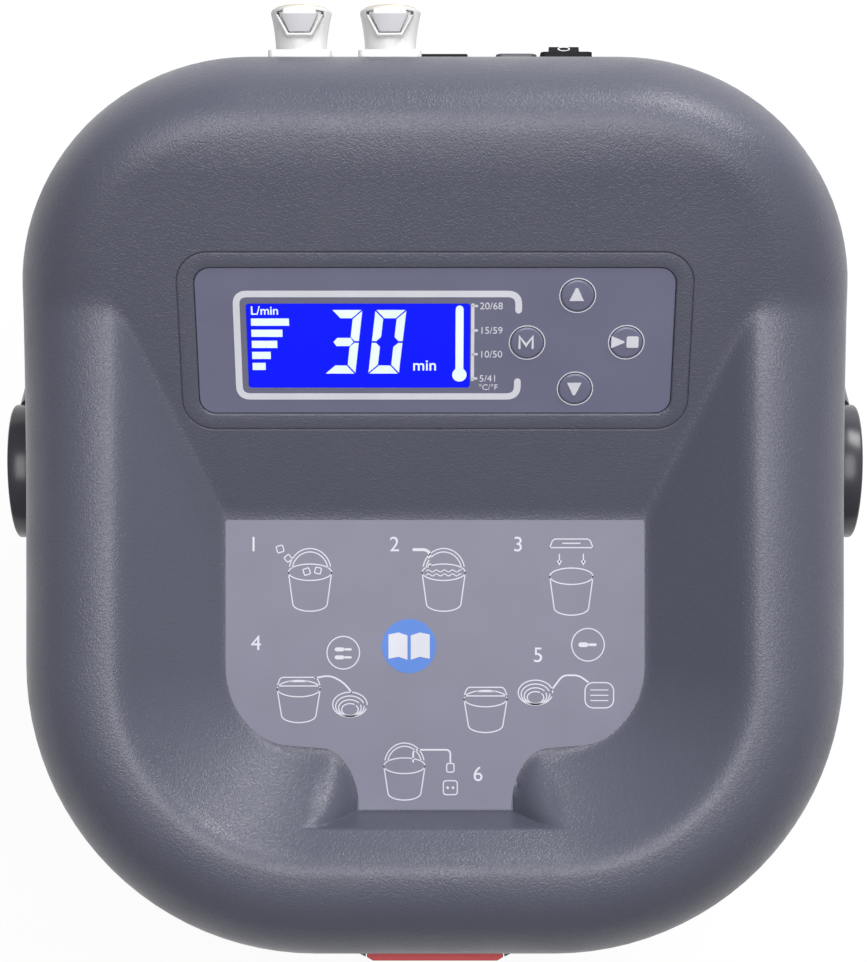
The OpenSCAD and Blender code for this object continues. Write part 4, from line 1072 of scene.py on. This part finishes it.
def hubs():
    """Two hubs, each with a round cover set in its face."""
    profile = [(8.1, ARM_X + 0.02), (HUB_R - 1, ARM_X + 0.02), (HUB_R - 0.3, ARM_X + 0.3), (HUB_R, ARM_X + 1)]
    profile += [(HUB_R, dome(HUB_R) - 0.7), (HUB_R - 0.15, dome(HUB_R) - 0.25)]
    profile += [(r, dome(r)) for r in (21, 20, 19, 18, 16.5, 15.4)]
    profile += [(14.9, dome(14.9) - 0.15), (14.7, dome(14.7) - 0.8), (14.7, ARM_X + 6.7), (12, ARM_X + 6.7)]
    profile += [(12, ARM_X + 4.1), (8.1, ARM_X + 4.1)]
    cap = [(0.01, ARM_X + 7.8), (14.1, ARM_X + 7.8), (14.3, ARM_X + 8), (14.3, dome(14.3) - 0.5)]
    cap += [(14.1, dome(14.1) - 0.1)] + [(r, dome(r)) for r in (13.5, 12.5, 11, 9, 7, 5, 3, 1, 0.01)]
    for name, section, replaced in (("handle_hubs", profile, ()), ("hub_covers", cap, ["hub_caps"])):
        turned = lathe(section, "X", 96, cyclic=True)
        shape = tapering(merged(turned, mirrored(turned)))
        piece(name, *shape, HANDLE, "handle", replaced, "handle_plastic", Matrix.Translation(PIVOT))


def grip():
    """Soft sleeve with shallow rings."""
    half = GRIP_L / 2
    groove = GRIP_R - 0.7
    count = 13
    pitch = (GRIP_L - 12) / count
    end = [(ARM_W / 2 - 1.5, half), (GRIP_R - 1, half), (GRIP_R - 0.3, half - 0.4), (GRIP_R, half - 1.2)]
    profile = [(r, -x) for r, x in end]
    for k in range(count):
        x = -half + 6 + pitch * k
        profile += [(GRIP_R, x + 1.4), (groove, x + 2.2)]
        profile += [(groove, x + pitch - 2.2), (GRIP_R, x + pitch - 1.4)]
    profile += reversed(end)
    sleeve = lathe(profile, "X", 48)
    at = BAIL @ Matrix.Translation((0, BAIL_R, 0))
    piece("grip_sleeve", *sleeve, RUBBER, "handle", ["handle_grip"], "rubber_grey", at, sharp=60)


bail()
hubs()
grip()


# ---- Rear fittings ---------------------------------------------------------------------------
def cut(obj, *tools):
    """Cuts closed shapes, given in the piece's own millimetres, out of a piece."""
    cutters = [in_scene("cutter", metre_mesh("cutter", *tool)) for tool in tools]
    for cutter in cutters:
        modifier = obj.modifiers.new("cut", "BOOLEAN")
        modifier.operation = "DIFFERENCE"
        modifier.solver = "EXACT"
        modifier.object = cutter
    bpy.context.view_layer.update()
    whole = bpy.data.meshes.new_from_object(obj.evaluated_get(bpy.context.evaluated_depsgraph_get()))
    obj.modifiers.clear()
    for cutter in cutters:
        bpy.data.objects.remove(cutter)
    obj.data = whole


def trapezoid(width, narrow, y0, y1, low, high):
    return prism([(-narrow / 2, y0), (narrow / 2, y0), (width / 2, y1), (-width / 2, y1)], low, high)


# A coupling's tip, and its thumb latch: where the plate stands, the tab's height, width and length
TIP = FITTING_Y + COUPLER_L
THUMB_Y = TIP - 3.4
THUMB_Z = 9.4
THUMB_W = 12.3
TAB_L = 5.4
TAB_END = THUMB_Y - TAB_L


def moulding(name, shape, at, material=WHITE, sharp=32):
    """A part of a coupling, fixed to the lid."""
    piece(name, *shape, material, "lid", slot="coupler_plastic", at=at, sharp=sharp)


def coupler(name, x):
    """A quick-disconnect coupling: a flared body with a raised frame round its thumb latch."""
    face, seat, neck, collar = FITTING_Y, TIP - 13, 7.6, 9.15
    profile = [(3.6, face + 1), (neck, face + 1), (neck, face + 3.6)]
    profile += [(neck + (collar - neck) * (k / 12) ** 1.8, TIP - 12.9 + 0.97 * k) for k in range(13)]
    profile += [(collar, TIP - 1), (8.95, TIP - 0.65), (8.6, TIP - 0.5), (7.4, TIP - 0.5), (6.6, TIP - 0.5)]
    profile += [(6.4, TIP - 1), (5.1, TIP - 1.3), (5, TIP - 1.6), (5, seat), (3.6, seat)]
    body = piece(f"{name}_coupling", *lathe(profile, "Y", 72, cyclic=True), WHITE, "lid", [f"{name}_coupler"],
                 "coupler_plastic", sharp=30)
    slot = block((-7, THUMB_Y - 0.1, -8.4), (7, THUMB_Y + 1.8, 12))
    cut(body, slot, trapezoid(THUMB_W, 6.6, TAB_END - 0.3, THUMB_Y + 0.2, 7.5, 14))
    at = Matrix.Translation((x, 0, FITTING_Z))
    body.data.transform(Matrix.Translation(at.translation * MM))
    levels = ((0.2, 0.1), (0, 0.3), (0, 3.1), (0.2, 3.3), (0.6, 3.4))
    flange = [[(px, py, h) for px, py in rounded(2 * FLANGE_R - inset, 2 * FLANGE_R - inset, 1.6)]
              for inset, h in levels]
    turn = Matrix.Translation((x, face, FITTING_Z)) @ Matrix.Rotation(-pi / 2, 4, "X")
    moulding(f"{name}_flange", loft(flange), turn)
    lip = [(8.3, TIP - 0.6), (8.15, TIP - 0.1), (7.9, TIP), (6.9, TIP), (6.7, TIP - 0.1), (6.6, TIP - 0.6)]
    moulding(f"{name}_lip", lathe(lip, "Y", 72, cyclic=True), at, BEIGE)
    thumb_frame(name, at)
    thumb_latch(name, at)


def thumb_frame(name, at):
    """The raised rim of the well that the thumb tab sits in, open towards the tip."""
    def side(out, drop):
        wide, narrow = THUMB_W / 2 + out, 3.15 + 0.75 * out
        tip, end = THUMB_Y - 0.3, TAB_END - drop
        return [(-wide, tip), (-narrow, end), (narrow, end), (wide, tip)]
    high, low = THUMB_Z + 1.3, THUMB_Z - 2.6
    section = ((0.85, 1.05, high - 0.35), (0.85, 1.05, low), (0.1, 0.2, low), (0.1, 0.2, high - 0.35),
               (0.35, 0.5, high), (0.6, 0.8, high))
    sides = [[(*p, z) for p in side(out, drop)] for out, drop, z in section]
    moulding(f"{name}_thumb_frame", loft([list(ring) for ring in zip(*sides)]), at, sharp=20)


def thumb_latch(name, at):
    """The latch plate, with the grey tab that a thumb presses."""
    half = THUMB_W / 2
    side = [(half - 0.4, -6.4), (half, -6), (half, 5.6)]
    side += [(4.9, 6.8), (4.9, THUMB_Z + 1), (4.6, THUMB_Z + 1.3)]
    edge = side + [(-x, z) for x, z in reversed(side)]
    hole = arc_points(0, 1, 6, 6, 0, 350, 35)

    def slab(points, y0, y1):
        return loft([[(x, y, z) for x, z in points] for y in (y0, y1)])
    made = piece(f"{name}_latch_plate", *slab(edge, THUMB_Y, THUMB_Y + 1.6), WHITE, f"{name}_thumb",
                 [f"{name}_thumb_latch"], "latch_metal")
    cut(made, slab(hole, THUMB_Y - 1, THUMB_Y + 3))
    made.data.transform(Matrix.Translation(at.translation * MM))

    def ring(inset, z):
        wide, narrow, y = half - 0.55 - inset, 3 - 0.7 * inset, TAB_END + inset
        return [(-wide, THUMB_Y + 0.05, z), (-narrow, y, z), (narrow, y, z), (wide, THUMB_Y + 0.05, z)]
    rings = [ring(inset, THUMB_Z + rise) for inset, rise in ((0, 0), (0, 1), (0.12, 1.28), (0.4, 1.4))]
    piece(f"{name}_thumb_tab", *loft(rings), GREY_TAB, f"{name}_thumb", slot="latch_metal", at=at)


for coupling_name, coupling_x in COUPLERS.items():
    coupler(coupling_name, coupling_x)
dress(WHITE, "outlet_poppet", "return_poppet", "coupler_nuts")


def rocker():
    """The switch's paddle, whose two faces meet in a valley, at rest with its upper end pressed in."""
    half = 4.55
    valley, tip, top = (1.9, 1.2), (6.3, -3.3), (2.4, 6.7)
    section = [top, valley, tip] + arc_points(0, 0, 7.1, 7.1, -32, -86, 8)
    section += [(-3.4, -3), (-3.4, 3)] + arc_points(0, 0, 7.1, 7.1, 88, 72, 3)
    at = Matrix.Translation((ROCKER_X, FITTING_Y + 0.4, FITTING_Z))
    verts, faces = loft([[(x, y, z) for y, z in section] for x in (-half, half)])
    soften(piece("switch_paddle", verts, faces, BLACK, "rocker", ["rocker_paddle"], "black_plastic", at), 0.3)
    slope = atan2(tip[0] - valley[0], valley[1] - tip[1])
    low_face = at @ Matrix.Translation((0, lerp(valley[0], tip[0], 0.8), lerp(valley[1], tip[1], 0.8)))
    low_face = low_face @ Matrix.Rotation(slope - pi / 2, 4, "X")
    high_face = at @ Matrix.Translation((0, (valley[0] + top[0]) / 2, (valley[1] + top[1]) / 2))
    high_face = high_face @ Matrix.Rotation(pi / 2, 4, "X") @ Matrix.Rotation(pi, 4, "Y")
    ring = line(arc_points(0, 0, 1.65, 1, 0, 350, 35), 0.4, True)
    bar = line([(0, -1.5), (0, 1.5)], 0.5)
    for name, mark, place in (("switch_off_mark", ring, low_face), ("switch_on_mark", bar, high_face)):
        piece(name, *mark, INK, "rocker", at=place, slot="black_plastic")


rocker()
dress(BLACK, "rocker_frame", edge=0.45)
dress(COLLAR, "power_jack", edge=0.4)
dress(WIRE, "power_wires", "pump_wires")
dress(BLACK, "rear_hook", edge=0.5)


# ---- Front latch -----------------------------------------------------------------------------
dress(RED, "latch_button", edge=0.9)
dress(LID, "latch_housing", edge=0.3)


# ---- Inside ----------------------------------------------------------------------------------
dress(TANK, "lid_bottom_cover")
dress(SEAL, "lid_seal", edge=0.5)
dress(STEEL, "lid_screws", "board_screws", "temp_probe", "pump_motor")
dress(DISPLAY, "lcd_module")
dress(BOARD, "control_board")
dress(BLACK, "tact_switches", "flow_sensor", "strainer")
dress(HOSE, "hoses")
dress(TANK, "discharge_tube", "return_tube", "pump_stem", "pump_housing", "pump_cover", "pump_impeller")


# ---- Set, camera and light -------------------------------------------------------------------
def floor_paint():
    """White paint that glows for the rays that look at it, and takes shadows."""
    material = bpy.data.materials.new("floor")
    material.use_nodes = True
    tree = material.node_tree
    tree.nodes.clear()
    rays = add_node(tree, "ShaderNodeLightPath").outputs
    seen = rays["Is Camera Ray"]
    for other in ("Is Glossy Ray", "Is Transmission Ray"):
        seen = add_node(tree, "ShaderNodeMath", {0: seen, 1: rays[other]}, operation="MAXIMUM").outputs[0]
    share = add_node(tree, "ShaderNodeMath", {0: seen, 1: 0.82}, operation="MULTIPLY").outputs[0]
    matt = add_node(tree, "ShaderNodeBsdfDiffuse", {"Color": (0.62, 0.62, 0.62, 1)}).outputs[0]
    glow = add_node(tree, "ShaderNodeEmission", {"Strength": 1.12}).outputs[0]
    paint = add_node(tree, "ShaderNodeMixShader", {0: share, 1: matt, 2: glow}).outputs[0]
    add_node(tree, "ShaderNodeOutputMaterial", {"Surface": paint})
    return material


def backdrop():
    """A pale floor that looks white to the camera and still takes the object's shadow."""
    half = 6000
    corners = [(-half, -half, 0), (half, -half, 0), (half, half, 0), (-half, half, 0)]
    floor = in_scene("floor", metre_mesh("floor", corners, [(0, 1, 2, 3)]))
    floor.data.materials.append(floor_paint())


def area_light(name, place, aim, size, power, tint=(1, 1, 1)):
    data = bpy.data.lights.new(name, "AREA")
    data.shape = "RECTANGLE"
    data.size, data.size_y = size
    data.energy = power
    data.color = tint
    lamp = in_scene(name, data)
    lamp.location = place
    lamp.rotation_euler = (Vector(aim) - Vector(place)).to_track_quat("-Z", "Y").to_euler()


def world(level):
    """An even soft light, and a white background where the camera looks past the floor."""
    made = bpy.data.worlds.new("studio")
    made.use_nodes = True
    tree = made.node_tree
    soft = tree.nodes["Background"]
    soft.inputs["Color"].default_value = (level, level, level * 1.02, 1)
    seen = add_node(tree, "ShaderNodeLightPath").outputs["Is Camera Ray"]
    white = add_node(tree, "ShaderNodeBackground", {"Color": (1, 1, 1, 1)}).outputs[0]
    mix = add_node(tree, "ShaderNodeMixShader", {0: seen, 1: soft.outputs[0], 2: white})
    tree.links.new(mix.outputs[0], tree.nodes["World Output"].inputs["Surface"])
    bpy.context.scene.world = made


def camera():
    """Straight over the lid, as in the photograph."""
    data = bpy.data.cameras.new("camera")
    data.lens = 77.35
    data.sensor_width = 36
    data.shift_x = -0.0016
    data.clip_start = 0.05
    made = in_scene("camera", data)
    made.location = (0, 0.00705, 0.840)
    bpy.context.scene.camera = made


# Lamps: place, aim and size in metres, then watts and tint
backdrop()
world(0.085)
area_light("overhead", (0, 0.15, 1.35), (0, 0, 0.22), (1.0, 0.8), 11.6, (0.99, 0.99, 1))
area_light("key", (0.50, 1.00, 0.80), (0.03, 0.05, 0.24), (0.6, 0.5), 10.5)
camera()
bpy.context.scene.view_settings.view_transform = "Standard"
